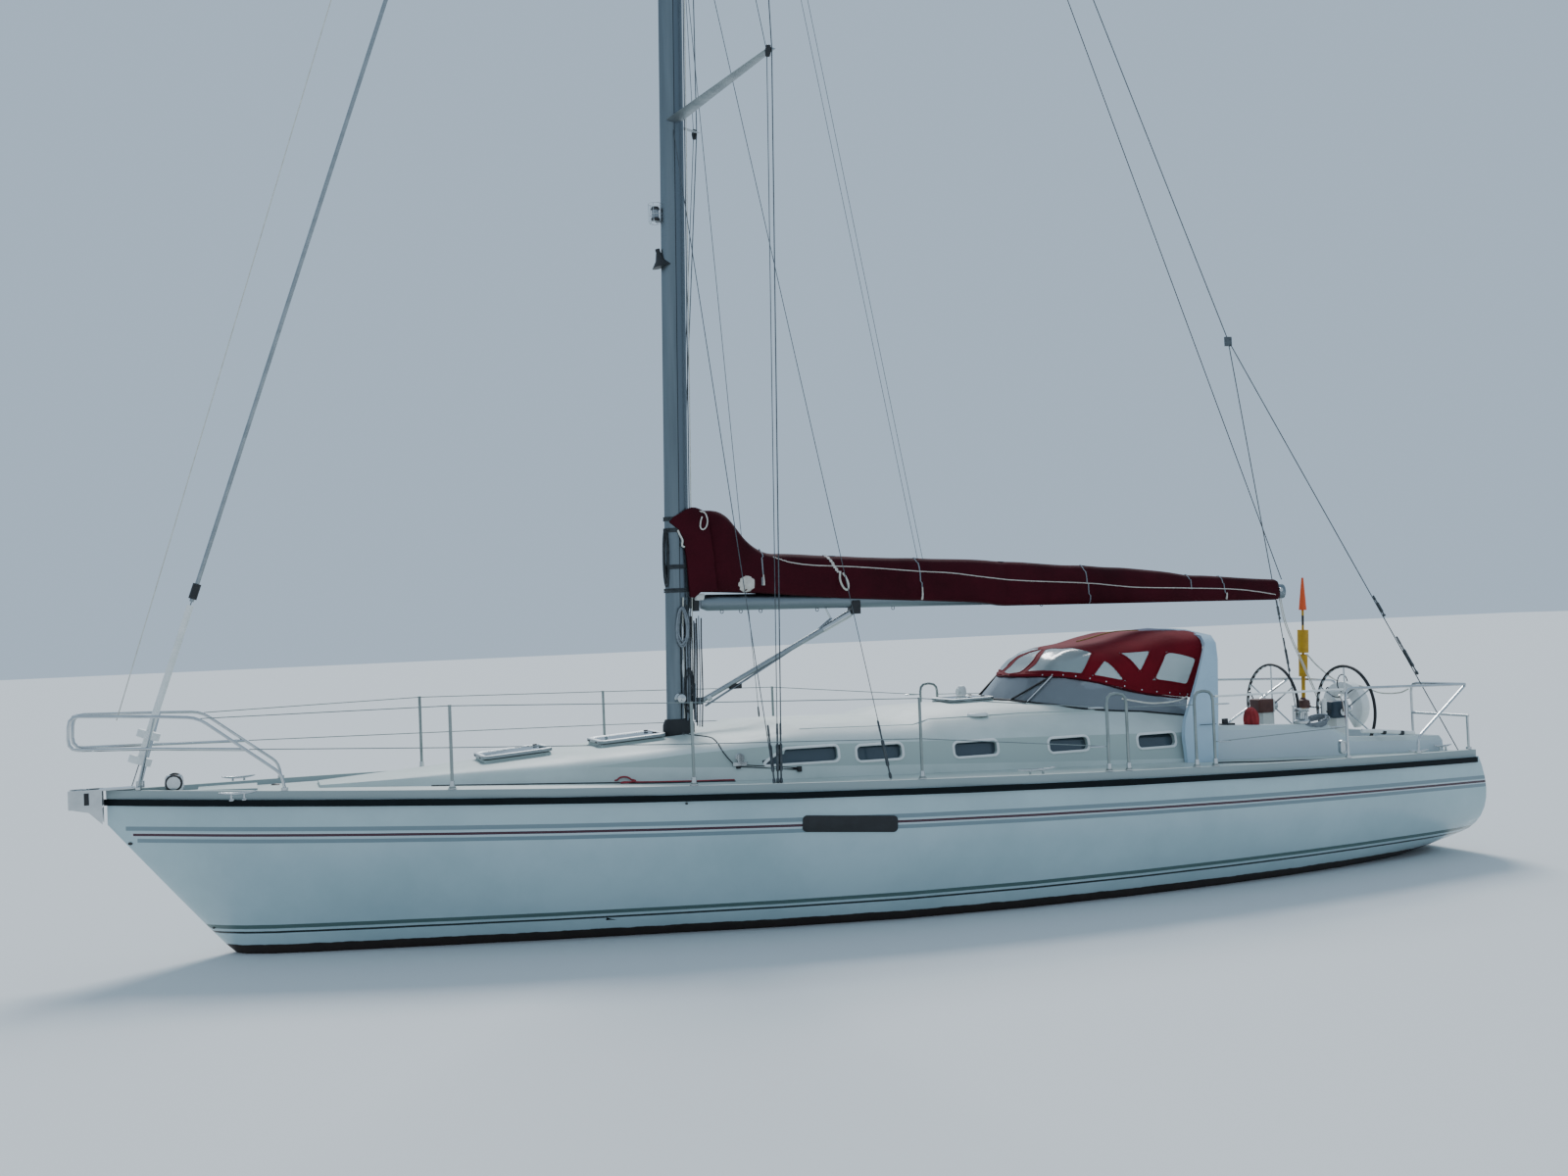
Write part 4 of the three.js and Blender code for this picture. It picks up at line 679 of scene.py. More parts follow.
# Hull marks: the black panel amidships, eyes and outlets
hullPanel = {
    # x of its ends, top and bottom heights at each end, corner radius, how far it stands out
    "ends": (-0.905, -0.166), "tops": (0.910, 0.862), "bottoms": (0.782, 0.733), "corner": 0.035, "out": 0.005,
}
hullEyes = {
    # x, z, radius, which sides
    "stem": (-5.713, 0.899, 0.017, bothSides), "low": (-5.14, 0.212, 0.010, bothSides),
    "vent": (-1.767, 1.05, 0.011, bothSides[:1]), "outlet": (5.64, 0.426, 0.032, bothSides[:1]),
}


def roundedLoop(x0, x1, z0, z1, corner, steps=6):
    # outline of a rounded rectangle, as [x, z]
    turns = [(x1 - corner, z1 - corner, 0), (x0 + corner, z1 - corner, 90), (x0 + corner, z0 + corner, 180),
             (x1 - corner, z0 + corner, 270)]
    points = []
    for cx, cz, first in turns:
        for k in range(steps + 1):
            angle = math.radians(first + 90 * k / steps)
            points.append((cx + corner * math.cos(angle), cz + corner * math.sin(angle)))
    return np.array(points)


def hullPatch(loop, side, out, edge=0.004):
    # a rounded plate on the hull's side: rings shrink towards its middle and stand out by one edge height
    middle = loop.mean(0)
    rings = []
    for share, height in ((1, -0.006), (1, out - edge), (0.985, out), (0.6, out), (0.2, out)):
        flat = middle + (loop - middle) * share
        y = hullSideAt(flat[:, 0], flat[:, 1]) + height
        rings.append(np.stack([flat[:, 0], side * y, flat[:, 1]], 1))
    return outward(skin(rings))


def makeHullMarks():
    (x0, x1), tops, bottoms = hullPanel["ends"], hullPanel["tops"], hullPanel["bottoms"]
    loop = roundedLoop(0, x1 - x0, 0, tops[0] - bottoms[0], hullPanel["corner"])
    share = loop[:, 0] / (x1 - x0)
    loop = np.stack([x0 + loop[:, 0], loop[:, 1] + bottoms[0] + (bottoms[1] - bottoms[0]) * share], 1)
    for name, side in bothSides:
        makePiece("hull_panel_" + name, hullPatch(loop, side, hullPanel["out"]), "blackPlastic")
    for key, (x, z, radius, sides) in hullEyes.items():
        for name, side in sides:
            # a low dark oval on the side: painted shade for the inside of the hole
            oval = ringOf(radius, 16, 0.7) + (x, z)
            makePiece("hull_eye_" + key + "_" + name, hullPatch(oval, side, 0.006, 0.002), "blackPlastic")


makeHullMarks()
print("hull marks are made")

# Cabin window frames, each swept round its opening
windowForm = {
    # x0, x1, z0, z1, lean of the front edge
    "table": ((-1.030, -0.405, 1.258, 1.372, 0.180), (-0.245, 0.140, 1.243, 1.358, 0.0),
              (0.600, 0.985, 1.220, 1.333, 0.0), (1.465, 1.840, 1.203, 1.312, 0.0),
              (2.335, 2.710, 1.180, 1.290, 0.0)),
    "corner": 0.035,
    # how far out of the opening, how far out of the wall
    "profile": ((-0.003, -0.004), (-0.003, 0.005), (0.002, 0.011), (0.012, 0.011), (0.018, 0.005),
                (0.019, -0.004)),
}


def makeWindowFrames():
    for name, side in bothSides:
        parts = []
        for x0, x1, z0, z1, lean in windowForm["table"]:
            loop = roundedLoop(x0, x1, z0, z1, windowForm["corner"])
            # the front edge leans aft with height
            loop[:, 0] += lean * np.clip((x1 - loop[:, 0]) / (x1 - x0), 0, 1) * (loop[:, 1] - z0) / (z1 - z0)
            ahead = np.roll(loop, -1, 0) - np.roll(loop, 1, 0)
            away = np.stack([ahead[:, 1], -ahead[:, 0]], 1)
            away /= np.linalg.norm(away, axis=1, keepdims=True)
            rings = []
            for wide, high in windowForm["profile"]:
                flat = loop + away * wide
                y = wallAt(flat[:, 0], flat[:, 1]) + high
                rings.append(np.stack([flat[:, 0], side * y, flat[:, 1]], 1))
            parts.append(outward(skin(closedRun(np.stack(rings, 1)), caps=False)))
        makePiece("window_frames_" + name, parts, "whitePlastic")


makeWindowFrames()
print("window frames are made")

# Spray hood: canvas with clear windows, bound edges and piping along its top
hoodForm = {
    # station x, half width, foot height, top height, squareness, lean aft per height
    "stations": np.array([
        [1.700, 0.055, 1.808, 1.816, 1.00, 0.00], [1.730, 0.220, 1.808, 1.830, 1.00, 0.00],
        [1.830, 0.430, 1.808, 1.895, 0.95, 0.00], [1.970, 0.620, 1.798, 1.995, 0.85, 0.00],
        [2.200, 0.790, 1.743, 2.052, 0.66, 0.00], [2.550, 0.900, 1.638, 2.098, 0.48, 0.00],
        [2.850, 0.935, 1.590, 2.160, 0.38, 0.14], [3.030, 0.950, 1.568, 2.160, 0.34, 0.37]]),
    "rows": 150, "columns": 330,
    # windows: share along the hood and share of the way across, from the port edge
    "windows": {
        "side": ((0.225, 0.167), (0.286, 0.238), (0.339, 0.262), (0.429, 0.358), (0.505, 0.460), (0.539, 0.421),
                 (0.554, 0.346), (0.579, 0.271), (0.593, 0.175), (0.546, 0.092), (0.507, 0.025), (0.468, 0.025),
                 (0.429, 0.025), (0.382, 0.033), (0.332, 0.046), (0.271, 0.088)),
        "low": ((0.550, 0.025), (0.611, 0.117), (0.664, 0.029)),
        "high": ((0.668, 0.162), (0.775, 0.158), (0.718, 0.071)),
        "aft": ((0.825, 0.146), (0.975, 0.125), (0.946, 0.038), (0.768, 0.050)),
    },
    "front": ((0.136, 0.440), (0.189, 0.230), (0.282, 0.312), (0.375, 0.360), (0.436, 0.425), (0.510, 0.492),
              (0.510, 0.508), (0.436, 0.575), (0.375, 0.640), (0.282, 0.688), (0.189, 0.770), (0.136, 0.560)),
    "hoops": (0.52, 0.88), "sag": 0.010, "wrinkle": 0.004,
    # piping along the top, a little off the middle
    "ridge": ((0.700, 0.550), (0.746, 0.550), (0.811, 0.550), (0.907, 0.540), (0.960, 0.530)),
    "tape": 0.016, "piping": 0.006,
    # tape along both feet: shares from and to, shares across, width
    "hem": (0.02, 0.995), "hemAcross": (0.008, 0.992), "hemWide": 0.028,
    # press studs along both feet: shares from and to, shares across, how many, radius and height
    "studs": (0.30, 0.96), "studAcross": (0.010, 0.990), "studCount": 12,
    "stud": ((0, 0), (0.007, 0), (0.006, 0.004), (0, 0.005)),
}


def makeHoodSurface(rows, columns):
    # each station is an arch y = half |cos|^square, z = foot + rise sin^(square + 0.05), spaced evenly along
    # its length; between the hoops the cloth sags, and shallow wrinkles run up from its foot
    stations = curved(hoodForm["stations"], rows)
    angle = np.linspace(0, np.pi, 721)
    cos, sin = np.cos(angle), np.sin(angle)
    x, half, low, top, square, lean = (stations[:, k][:, None] for k in range(6))
    rise = (top - low) * np.maximum(sin, 0) ** (square + 0.05)
    arch = np.stack([x + lean * rise, -half * np.sign(cos) * np.abs(cos) ** square, low + rise], -1)
    steps = np.linalg.norm(np.diff(arch, axis=1), axis=2)
    arc = np.concatenate([np.zeros((rows, 1)), np.cumsum(steps, 1)], 1)
    arc /= arc[:, -1:]
    v = np.linspace(0, 1, columns)
    even = [[np.interp(v, arc[i], arch[i, :, k]) for k in range(3)] for i in range(rows)]
    points = np.stack(even).transpose(0, 2, 1)
    normal = np.cross(np.gradient(points, axis=0), np.gradient(points, axis=1))
    normal /= np.linalg.norm(normal, axis=2, keepdims=True) + 1e-9
    normal *= np.sign(normal[rows // 2, columns // 2, 2])
    t = np.linspace(0, 1, rows)[:, None]
    first, last = hoodForm["hoops"]
    between = np.where(t < first, np.sin(np.pi * t / first),
                       np.sin(np.pi * (t - first) / (last - first)) ** 2)
    between = np.where(t > last, 0, between) * np.sin(np.pi * v)[None, :] ** 0.5
    ripple = np.sin(38 * v[None, :] + 5 * np.sin(7 * t)) * np.exp(-((t - first) / 0.12) ** 2)
    ripple = ripple + 0.6 * np.sin(57 * v[None, :] + 3 * np.cos(9 * t)) * np.exp(-((t - last) / 0.08) ** 2)
    foot = np.sin(np.pi * np.minimum(v, 1 - v) / 0.5)[None, :]
    depth = -hoodForm["sag"] * between + hoodForm["wrinkle"] * ripple * foot
    return points + normal * depth[:, :, None], normal


hoodPoints, hoodNormals = makeHoodSurface(hoodForm["rows"], hoodForm["columns"])


def onHood(t, v, out=0.0):
    # a place on the hood's cloth, between the four nearest points, raised along the normal
    i = np.clip(np.asarray(t) * (hoodForm["rows"] - 1), 0, hoodForm["rows"] - 1.001)
    j = np.clip(np.asarray(v) * (hoodForm["columns"] - 1), 0, hoodForm["columns"] - 1.001)
    a, b = i.astype(int), j.astype(int)
    p, q = (i - a)[:, None], (j - b)[:, None]
    found = []
    for grid in (hoodPoints, hoodNormals):
        front = grid[a, b] * (1 - q) + grid[a, b + 1] * q
        back = grid[a + 1, b] * (1 - q) + grid[a + 1, b + 1] * q
        found.append(front * (1 - p) + back * p)
    place, normal = found
    return place + normal * out, normal


def insideOf(polygon, t, v):
    # which places lie inside a polygon: a line from each crosses its edges an odd number of times
    crossed = np.zeros(np.broadcast(t, v).shape, int)
    corners = list(polygon)
    for (t0, v0), (t1, v1) in zip(corners, corners[1:] + corners[:1]):
        between = (v0 > v) != (v1 > v)
        edge = (t1 - t0) * (v - v0) / (v1 - v0 + 1e-12) + t0
        crossed += between & (t < edge)
    return crossed % 2 == 1


def roundedPath(polygon, step=0.012, cut=0.16):
    # closed path along a polygon in hood shares, with its corners cut round
    corners = np.array(polygon)
    before, after = np.roll(corners, 1, 0), np.roll(corners, -1, 0)
    path = []
    for a, b, c in zip(before, corners, after):
        start, end = b + (a - b) * cut, b + (c - b) * cut
        path += [start * (1 - u) ** 2 + 2 * b * u * (1 - u) + end * u ** 2 for u in np.linspace(0, 1, 7)]
        far = c + (b - c) * cut
        count = max(2, int(np.linalg.norm((far - end) * (1.4, 2.9)) / step))
        path += [end + (far - end) * k / count for k in range(1, count)]
    return np.array(path)


def tapeAlong(path, wide, closed=True, out=0.0015, thick=0.0025):
    # flat binding along a path in hood shares: its section is a low rounded box lying on the cloth
    place, normal = onHood(path[:, 0], path[:, 1])
    if closed:
        ahead = np.roll(place, -1, 0) - np.roll(place, 1, 0)
    else:
        ahead = np.gradient(place, axis=0)
    across = np.cross(ahead, normal)
    across /= np.linalg.norm(across, axis=1, keepdims=True) + 1e-9
    section = [(-0.5, 0), (-0.46, thick), (0.46, thick), (0.5, 0), (0.46, -0.002), (-0.46, -0.002)]
    grid = np.stack([place + across * wide * s + normal * (out + h) for s, h in section], 1)
    if closed:
        return outward(skin(closedRun(grid), caps=False))
    return outward(skin(grid))


def makeHood():
    rows, columns = hoodForm["rows"], hoodForm["columns"]
    t = (np.arange(rows - 1) + 0.5)[:, None] / (rows - 1)
    v = (np.arange(columns - 1) + 0.5)[None, :] / (columns - 1)
    allWindows = [hoodForm["front"]]
    for polygon in hoodForm["windows"].values():
        allWindows += [polygon, tuple((a, 1 - b) for a, b in polygon)]
    clear = np.zeros((rows - 1, columns - 1), bool)
    for polygon in allWindows:
        clear |= insideOf(polygon, t, v)
    cell = np.arange(rows * columns).reshape(rows, columns)
    quads = np.stack([cell[:-1, :-1], cell[:-1, 1:], cell[1:, 1:], cell[1:, :-1]], -1)
    pieces = {}
    for name, mask, key, thick, offset in (("hood_canvas", ~clear, "hoodCanvas", 0.0022, 1),
                                           ("hood_windows", clear, "vinyl", 0.0010, 0)):
        used, faces = np.unique(quads[mask], return_inverse=True)
        part = (hoodPoints.reshape(-1, 3)[used], [tuple(f) for f in faces.reshape(-1, 4).tolist()])
        pieces[name] = makePiece(name, part, key, crease=60)
        thicken(pieces[name], thick, offset)
    bindings = [tapeAlong(roundedPath(polygon), hoodForm["tape"]) for polygon in allWindows]
    side = np.linspace(*hoodForm["hem"], 90)
    for low in hoodForm["hemAcross"]:
        bindings.append(tapeAlong(np.stack([side, side * 0 + low], 1), hoodForm["hemWide"], closed=False))
    pieces["binding"] = makePiece("hood_binding", bindings, "hoodCanvas")
    ridge = curved(hoodForm["ridge"], 60)
    place, _ = onHood(ridge[:, 0], ridge[:, 1], 0.004)
    pieces["piping"] = makePiece("hood_piping", pipe(place, hoodForm["piping"], 6), "goldTape")
    studs, count = [], hoodForm["studCount"]
    for low in hoodForm["studAcross"]:
        spots, normals = onHood(np.linspace(*hoodForm["studs"], count), np.full(count, low), 0.002)
        studs += [turned(hoodForm["stud"], spot, normal, 10) for spot, normal in zip(spots, normals)]
    pieces["studs"] = makePiece("hood_studs", studs, "polishedSteel")
    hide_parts("spray_hood")


makeHood()
print("hood is made")

# Sail cover: one canvas laced over the boom and the folded sail, and its collar round the mast
coverForm = {
    # station x, half width, bottom, top
    "stations": np.array([
        [-1.195, 0.025, 2.660, 3.345], [-1.120, 0.075, 2.660, 3.350], [-1.000, 0.105, 2.656, 3.347],
        [-0.930, 0.115, 2.652, 3.318], [-0.854, 0.121, 2.648, 3.254], [-0.801, 0.124, 2.645, 3.161],
        [-0.708, 0.128, 2.640, 3.056], [-0.554, 0.132, 2.625, 2.967], [0.016, 0.125, 2.572, 2.938],
        [0.500, 0.120, 2.540, 2.918],
        [1.447, 0.110, 2.484, 2.861], [1.700, 0.105, 2.446, 2.845], [2.960, 0.095, 2.428, 2.759],
        [3.690, 0.085, 2.418, 2.665], [4.640, 0.074, 2.404, 2.608]]),
    # share of the half width, share of the height
    "section": np.array([[0.46, 0.0], [0.88, 0.07], [1.0, 0.42], [0.72, 0.86], [0.2, 1.0]]),
    # ties pinch the cover: x, depth
    "ties": ((-0.630, 0.006), (0.055, 0.014), (0.857, 0.012), (1.70, 0.012), (2.545, 0.010), (3.660, 0.008)),
    "rows": 420, "columns": 72,
    # aft end: share of the last section, how far aft
    "aftEnd": ((1, 0), (0.9, 0.02), (0.55, 0.035), (0.12, 0.03)),
}


def makeCoverSurface(rows, columns):
    # the section is a rounded hat: its shares curve from the port edge over the top to the starboard edge.
    # The cloth sags between ties and is drawn in at each, with slanting folds that fade away from it
    s = coverForm["stations"]
    x = np.linspace(s[0, 0], s[-1, 0], rows)
    half, low, top = (np.interp(x, s[:, 0], s[:, k]) for k in (1, 2, 3))
    ease = np.ones(9) / 9
    half, low, top = (np.convolve(np.pad(a, 4, mode="edge"), ease, "valid") for a in (half, low, top))
    shape = coverForm["section"]
    full = np.concatenate([shape, (shape * (-1, 1))[::-1]])
    profile = curved(full, 400)
    steps = np.linalg.norm(np.diff(profile, axis=0) * (0.12, 0.4), axis=1)
    arc = np.concatenate([[0], np.cumsum(steps)])
    v = np.linspace(0, 1, columns)
    wide, high = (np.interp(v, arc / arc[-1], profile[:, k]) for k in (0, 1))
    up = high[None, :]
    pinch = sum(depth * np.exp(-((x - place) / 0.05) ** 2) for place, depth in coverForm["ties"])
    slack = 1 - sum(np.exp(-((x - place) / 0.16) ** 2) for place, _ in coverForm["ties"])
    drift = np.sin(1.7 * x) + 0.6 * np.sin(4.3 * x + 1)
    folds = 0.0035 * np.sin(13 * x[:, None] + 6 * up + 2.5 * drift[:, None])
    folds = folds * np.sin(2.3 * x + 0.4)[:, None] ** 2
    # long soft rolls of the folded sail under the cloth
    rolls = 0.006 * np.sin(9 * up + 1.3 * np.sin(1.1 * x[:, None]) + 0.7)
    rolls = rolls * np.sin(np.pi * np.clip(up, 0, 1)) ** 0.5
    side = np.sin(np.pi * np.clip(up, 0, 1)) ** 0.4
    out = (folds * np.clip(slack, 0.25, 1)[:, None] + rolls) * side - pinch[:, None]
    y = -half[:, None] * wide[None, :] - np.sign(wide)[None, :] * out * np.minimum(1, half / 0.09)[:, None]
    sag = 0.008 * np.clip(slack, 0, 1) * np.sin(3.1 * x)
    z = low[:, None] + (top - low)[:, None] * up - sag[:, None] * up
    return np.stack([x[:, None] + 0 * y, y, z], -1)


coverPoints = makeCoverSurface(coverForm["rows"], coverForm["columns"])


def onCover(x, z, side, out=0.0):
    # a place on the cover's cloth at a height on one side
    s, last = coverForm["stations"], coverForm["rows"] - 1
    i = np.clip(((np.asarray(x) - s[0, 0]) / (s[-1, 0] - s[0, 0]) * last).round().astype(int), 0, last)
    half = coverForm["columns"] // 2
    found = []
    for index, height in zip(np.atleast_1d(i), np.broadcast_to(z, np.atleast_1d(i).shape)):
        row = coverPoints[index]
        run = row[:half] if side < 0 else row[::-1][:half]
        found.append((coverPoints[index, 0, 0], np.interp(height, run[:, 2], run[:, 1]) + side * out, height))
    return np.array(found)


def makeCover():
    points, faces = skin(coverPoints, around=False)
    cover = makePiece("cover_canvas", outward((points, faces)), "canvas", body="boom", crease=70)
    thicken(cover, 0.003, -1)
    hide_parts("sail_cover")
    # the aft end is gathered shut: its last section shrinks and moves aft
    last = coverPoints[-1]
    middle = last.mean(0)
    shrinking = [middle + (last - middle) * share + (aft, 0, 0) for share, aft in coverForm["aftEnd"]]
    return cover, makePiece("cover_aft_end", outward(skin(shrinking, caps=False)), "canvas", body="boom")


cover, coverEnd = makeCover()
print("sail cover is made")

# Wires, each a straight run between two fittings
mastSide = mastForm["wide"] / 2
wireRuns = {
    # from, to, radius
    "lower_fore": ((-1.085, 1.59, 1.16), (mastAt(6.62), mastSide, 6.62), 0.0035),
    "diagonal_low": ((-1.057, 1.59, 1.16), (-0.735, 1.09, 6.965), 0.0035),
    "diagonal_high": ((-0.735, 1.09, 6.965), (mastAt(11.4), mastSide, 11.4), 0.003),
    "lower_aft": ((-0.135, 1.60, 1.14), (mastAt(9.2) + 0.06, mastSide, 9.2), 0.003),
}


def makeWires():
    for name, side in bothSides:
        runs = [pipe(np.array(ends) * (1, side, 1), radius, 6) for *ends, radius in wireRuns.values()]
        makePiece("shrouds_" + name, runs, "wire")


makeWires()
print("wires are made")

# Cover's trim: collar round the mast, piping, ties, tails and round patch
coverTrim = {
    "collarLow": 2.615,
    # front edge of the collar: height, x
    "collarFront": ((2.615, -1.275), (2.95, -1.292), (3.12, -1.315), (3.19, -1.350), (3.26, -1.430),
                    (3.30, -1.395), (3.33, -1.330)),
    # pale line along each side: x, z
    "piping": ((-0.518, 2.945), (-0.381, 2.895), (-0.185, 2.863), (0.061, 2.847), (0.327, 2.829),
               (0.851, 2.780), (1.170, 2.755), (1.758, 2.677), (2.542, 2.625), (3.037, 2.573),
               (3.647, 2.546), (4.196, 2.515), (4.605, 2.454)),
    # ties: x at the top, x at the foot, height of the foot, width
    "ties": ((-0.612, -0.636, 2.700, 0.010), (-0.013, 0.075, 2.790, 0.026), (0.842, 0.872, 2.530, 0.010),
             (2.523, 2.567, 2.440, 0.009), (3.654, 3.667, 2.535, 0.009), (4.011, 4.042, 2.430, 0.009)),
    # the tails of two of them hang paler: x, z from, z to
    "tails": ((-0.630, 2.79, 2.700), (0.866, 2.64, 2.530), (4.04, 2.49, 2.43)),
    # round patch: x and z, radius, and the rings of its stitched rim as share of the radius and height
    "patchPlace": (-0.774, 2.715), "patchRadius": 0.070,
    "patchRings": ((1, 0.0), (0.99, 0.003), (0.9, 0.0045), (0.84, 0.003), (0.5, 0.003), (0.05, 0.003)),
}


def makeCollar():
    # a wrap round the mast: at each height the front edge steps aft below a pointed top flap, and the cloth
    # runs aft along the mast's side, sin^0.45 round its front, then straight out to the cover's width
    z = np.linspace(coverTrim["collarLow"], 3.33, 70)[:, None]
    front = np.interp(z, *zip(*coverTrim["collarFront"]))
    u = np.linspace(-1, 1, 91)[None, :]
    share = np.abs(u)
    aft = np.interp(z, [2.7, 3.0, 3.33], [-1.04, -1.06, -1.10])
    x = front + (aft - front) * share
    nose = mastAt(z) - 0.122
    wide = np.where(x < mastAt(z), 0.076 * np.sin(np.clip((x - nose) / 0.122, 0.02, 1) * np.pi / 2) ** 0.45,
                    0.076 + 0.040 * np.clip((x - mastAt(z)) / 0.29, 0, 1))
    # towards its top the cloth closes in over the mast track
    wide = wide * (1 - 0.5 * np.clip((x - mastAt(z)) / 0.2, 0, 1) * np.clip((z - 3.18) / 0.15, 0, 1) ** 2)
    crease = 0.004 * np.sin(40 * z + 9 * x) * np.clip(share * 3, 0, 1)
    y = np.sign(u) * (wide + crease) * np.clip(share * 30, 0, 1)
    lift = (0.045 * np.sin(np.pi * share) + 0.015 * share) * np.clip((z - 3.1) / 0.23, 0, 1)
    points = np.stack([x, y, z + lift], -1)
    # its foot steps up where the boom begins
    points[..., 2] += np.interp(x, [-1.23, -1.17], [0, 0.05]) * np.clip((2.90 - z) / 0.28, 0, 1) ** 2
    half = points.shape[1] // 2
    sides = [skin(part, around=False) for part in (points[:, :half], points[:, half + 1:])]
    collar = makePiece("cover_collar", outward(joined(sides)), "canvas", body=None, crease=60)
    thicken(collar, 0.0025, 0)
    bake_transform(collar)
    return collar


def coverStrap(xTop, xFoot, zFoot, wide, side):
    # webbing over the ridge and down one side, lying 4 mm off the cloth
    fore, aft = coverPoints[0, 0, 0], coverPoints[-1, 0, 0]
    row = int(np.clip((xTop - fore) / (aft - fore), 0, 1) * (coverForm["rows"] - 1))
    ridge = coverPoints[row, :, 2].max()
    z = np.linspace(ridge - 0.004, zFoot, 26)
    x = xTop + (xFoot - xTop) * (ridge - z) / (ridge - zFoot)
    down = onCover(x, z, side, 0.004)
    over = np.stack([[xTop, side * s * abs(down[0, 1]), ridge + 0.004] for s in (-0.7, -0.3, 0.3, 0.7)])
    path = np.concatenate([over, down])
    ahead = np.gradient(path, axis=0)
    across = np.array([wide / 2, 0, 0])
    out = np.cross(across, ahead)
    out *= 0.0012 / (np.linalg.norm(out, axis=1, keepdims=True) + 1e-9)
    grid = np.stack([path - across - out, path + across - out, path + across + out, path - across + out], 1)
    return outward(skin(grid))


def makeCoverTrim():
    sides = (-1, 1)
    line = curved(coverTrim["piping"], 160)
    piping = [pipe(onCover(line[:, 0], line[:, 1], side, 0.003), 0.0045, 6) for side in sides]
    # the one wide tie is white, like the tails
    narrow = [coverStrap(*tie, side) for tie in coverTrim["ties"] if tie[3] < 0.02 for side in sides]
    white = [coverStrap(*tie, side) for tie in coverTrim["ties"] if tie[3] > 0.02 for side in sides]
    thickening = np.linspace(0.005, 0.009, 8)
    for x, top, low in coverTrim["tails"]:
        z = np.linspace(top, low, 8)
        white += [pipe(onCover(x + 0.01 * (top - z), z, side, 0.010), thickening, 7) for side in sides]
    # plain round patch with a stitched rim: rings on the cloth round its middle
    cx, cz = coverTrim["patchPlace"]
    patches = []
    for side in sides:
        rings = []
        for share, high in coverTrim["patchRings"]:
            ring = ringOf(coverTrim["patchRadius"] * share, 36)
            rings.append(onCover(cx + ring[:, 0], cz + ring[:, 1], side, high))
        patches.append(outward(skin(np.stack(rings))))
    return [makePiece(name, parts, key, body="boom") for name, parts, key in (
        ("cover_piping", piping, "tapeWhite"), ("cover_ties", narrow, "fleckRope"),
        ("cover_tie_tails", white, "tapeWhite"), ("cover_patch", patches, "tapeWhite"))]


coverTrims = makeCoverTrim()
collar = makeCollar()
print("cover's trim is made")

# Windscreen: gasket, top rail and corner posts
screenForm = {
    # foot x, half width; top x, half width, height
    "rows": np.array([
        [1.500, 0.000, 1.690, 0.000, 1.800], [1.545, 0.250, 1.730, 0.220, 1.800],
        [1.650, 0.480, 1.830, 0.430, 1.800], [1.800, 0.680, 1.970, 0.620, 1.790],
        [2.030, 0.850, 2.200, 0.790, 1.735], [2.400, 0.950, 2.550, 0.900, 1.630],
        [2.930, 1.000, 2.990, 0.950, 1.560]]),
    "gasket": 0.007, "rail": 0.008, "post": 0.009,
    # name of the post: foot x and half width, finish; all meet at one head
    "posts": {"windscreen_posts": (1.586, 0.345, "seal"), "windscreen_edges": (1.665, 0.495, "polishedSteel")},
    "postHead": (1.898, 0.528, 1.806),
}


def makeWindscreenTrim():
    rows = screenForm["rows"]
    foot, top = rows[:, :2], rows[:, 2:]
    feet = np.concatenate([foot[::-1] * (1, -1), foot[1:]])
    feet = curved(np.column_stack([feet, 0 * feet[:, 0]]), 160)
    feet[:, 2] = roofAt(feet[:, 0], feet[:, 1]) + 0.006
    tops = curved(np.concatenate([top[::-1] * (1, -1, 1), top[1:]]), 160)
    makePiece("windscreen_gasket", pipe(feet, screenForm["gasket"], 8), "seal")
    makePiece("windscreen_rail", pipe(tops, screenForm["rail"], 8), "canvas")
    for name, (x, y, key) in screenForm["posts"].items():
        low = np.array([x - 0.006, y, float(roofAt(x, y)) + 0.01])
        run = low + (np.array(screenForm["postHead"]) - low) * np.linspace(0, 1, 12)[:, None] - (0.008, 0, 0)
        makePiece(name, [pipe(run * (1, side, 1), screenForm["post"], 8) for side in (-1, 1)], key)


makeWindscreenTrim()
print("windscreen trim is made")

# Roof hatches: frames, handles and hinges on the lids
hatchForm = {
    # lid node, x from, x to, half width, underside above the roof, thickness
    "lids": (("fore", -3.080, -2.520, 0.270, 0.024, 0.025), ("mast", -2.130, -1.570, 0.270, 0.024, 0.025),
             ("saloon", 1.050, 1.468, 0.240, 0.010, 0.018)),
    "corner": 0.060, "wide": 0.030,
    # handles: share of the half width, distance from the aft edge; knob as radius and height; hinge radius
    "handleAcross": 0.55, "handleInset": 0.07, "hinge": 0.007,
    "knob": ((0.0, 0.012), (0.016, 0.011), (0.019, 0.006), (0.020, 0.0)),
}


def lidPlane(x0, x1, lift):
    # origin and directions of a lid that lies along the roof's ridge
    z0, z1 = float(roofAt(x0, 0.0)), float(roofAt(x1, 0.0))
    along = np.array([x1 - x0, 0, z1 - z0])
    long = np.linalg.norm(along)
    along /= long
    up = np.array([-along[2], 0, along[0]])
    return np.array([x0, 0, z0]) + up * lift, along, up, long


def onPlane(plane, flat, up):
    # points [along, across] on a lid's plane, at heights over its underside
    origin, along, normal, _ = plane
    across = np.array([0, 1, 0])
    return origin + flat[:, :1] * along + flat[:, 1:] * across + np.asarray(up)[..., None] * normal


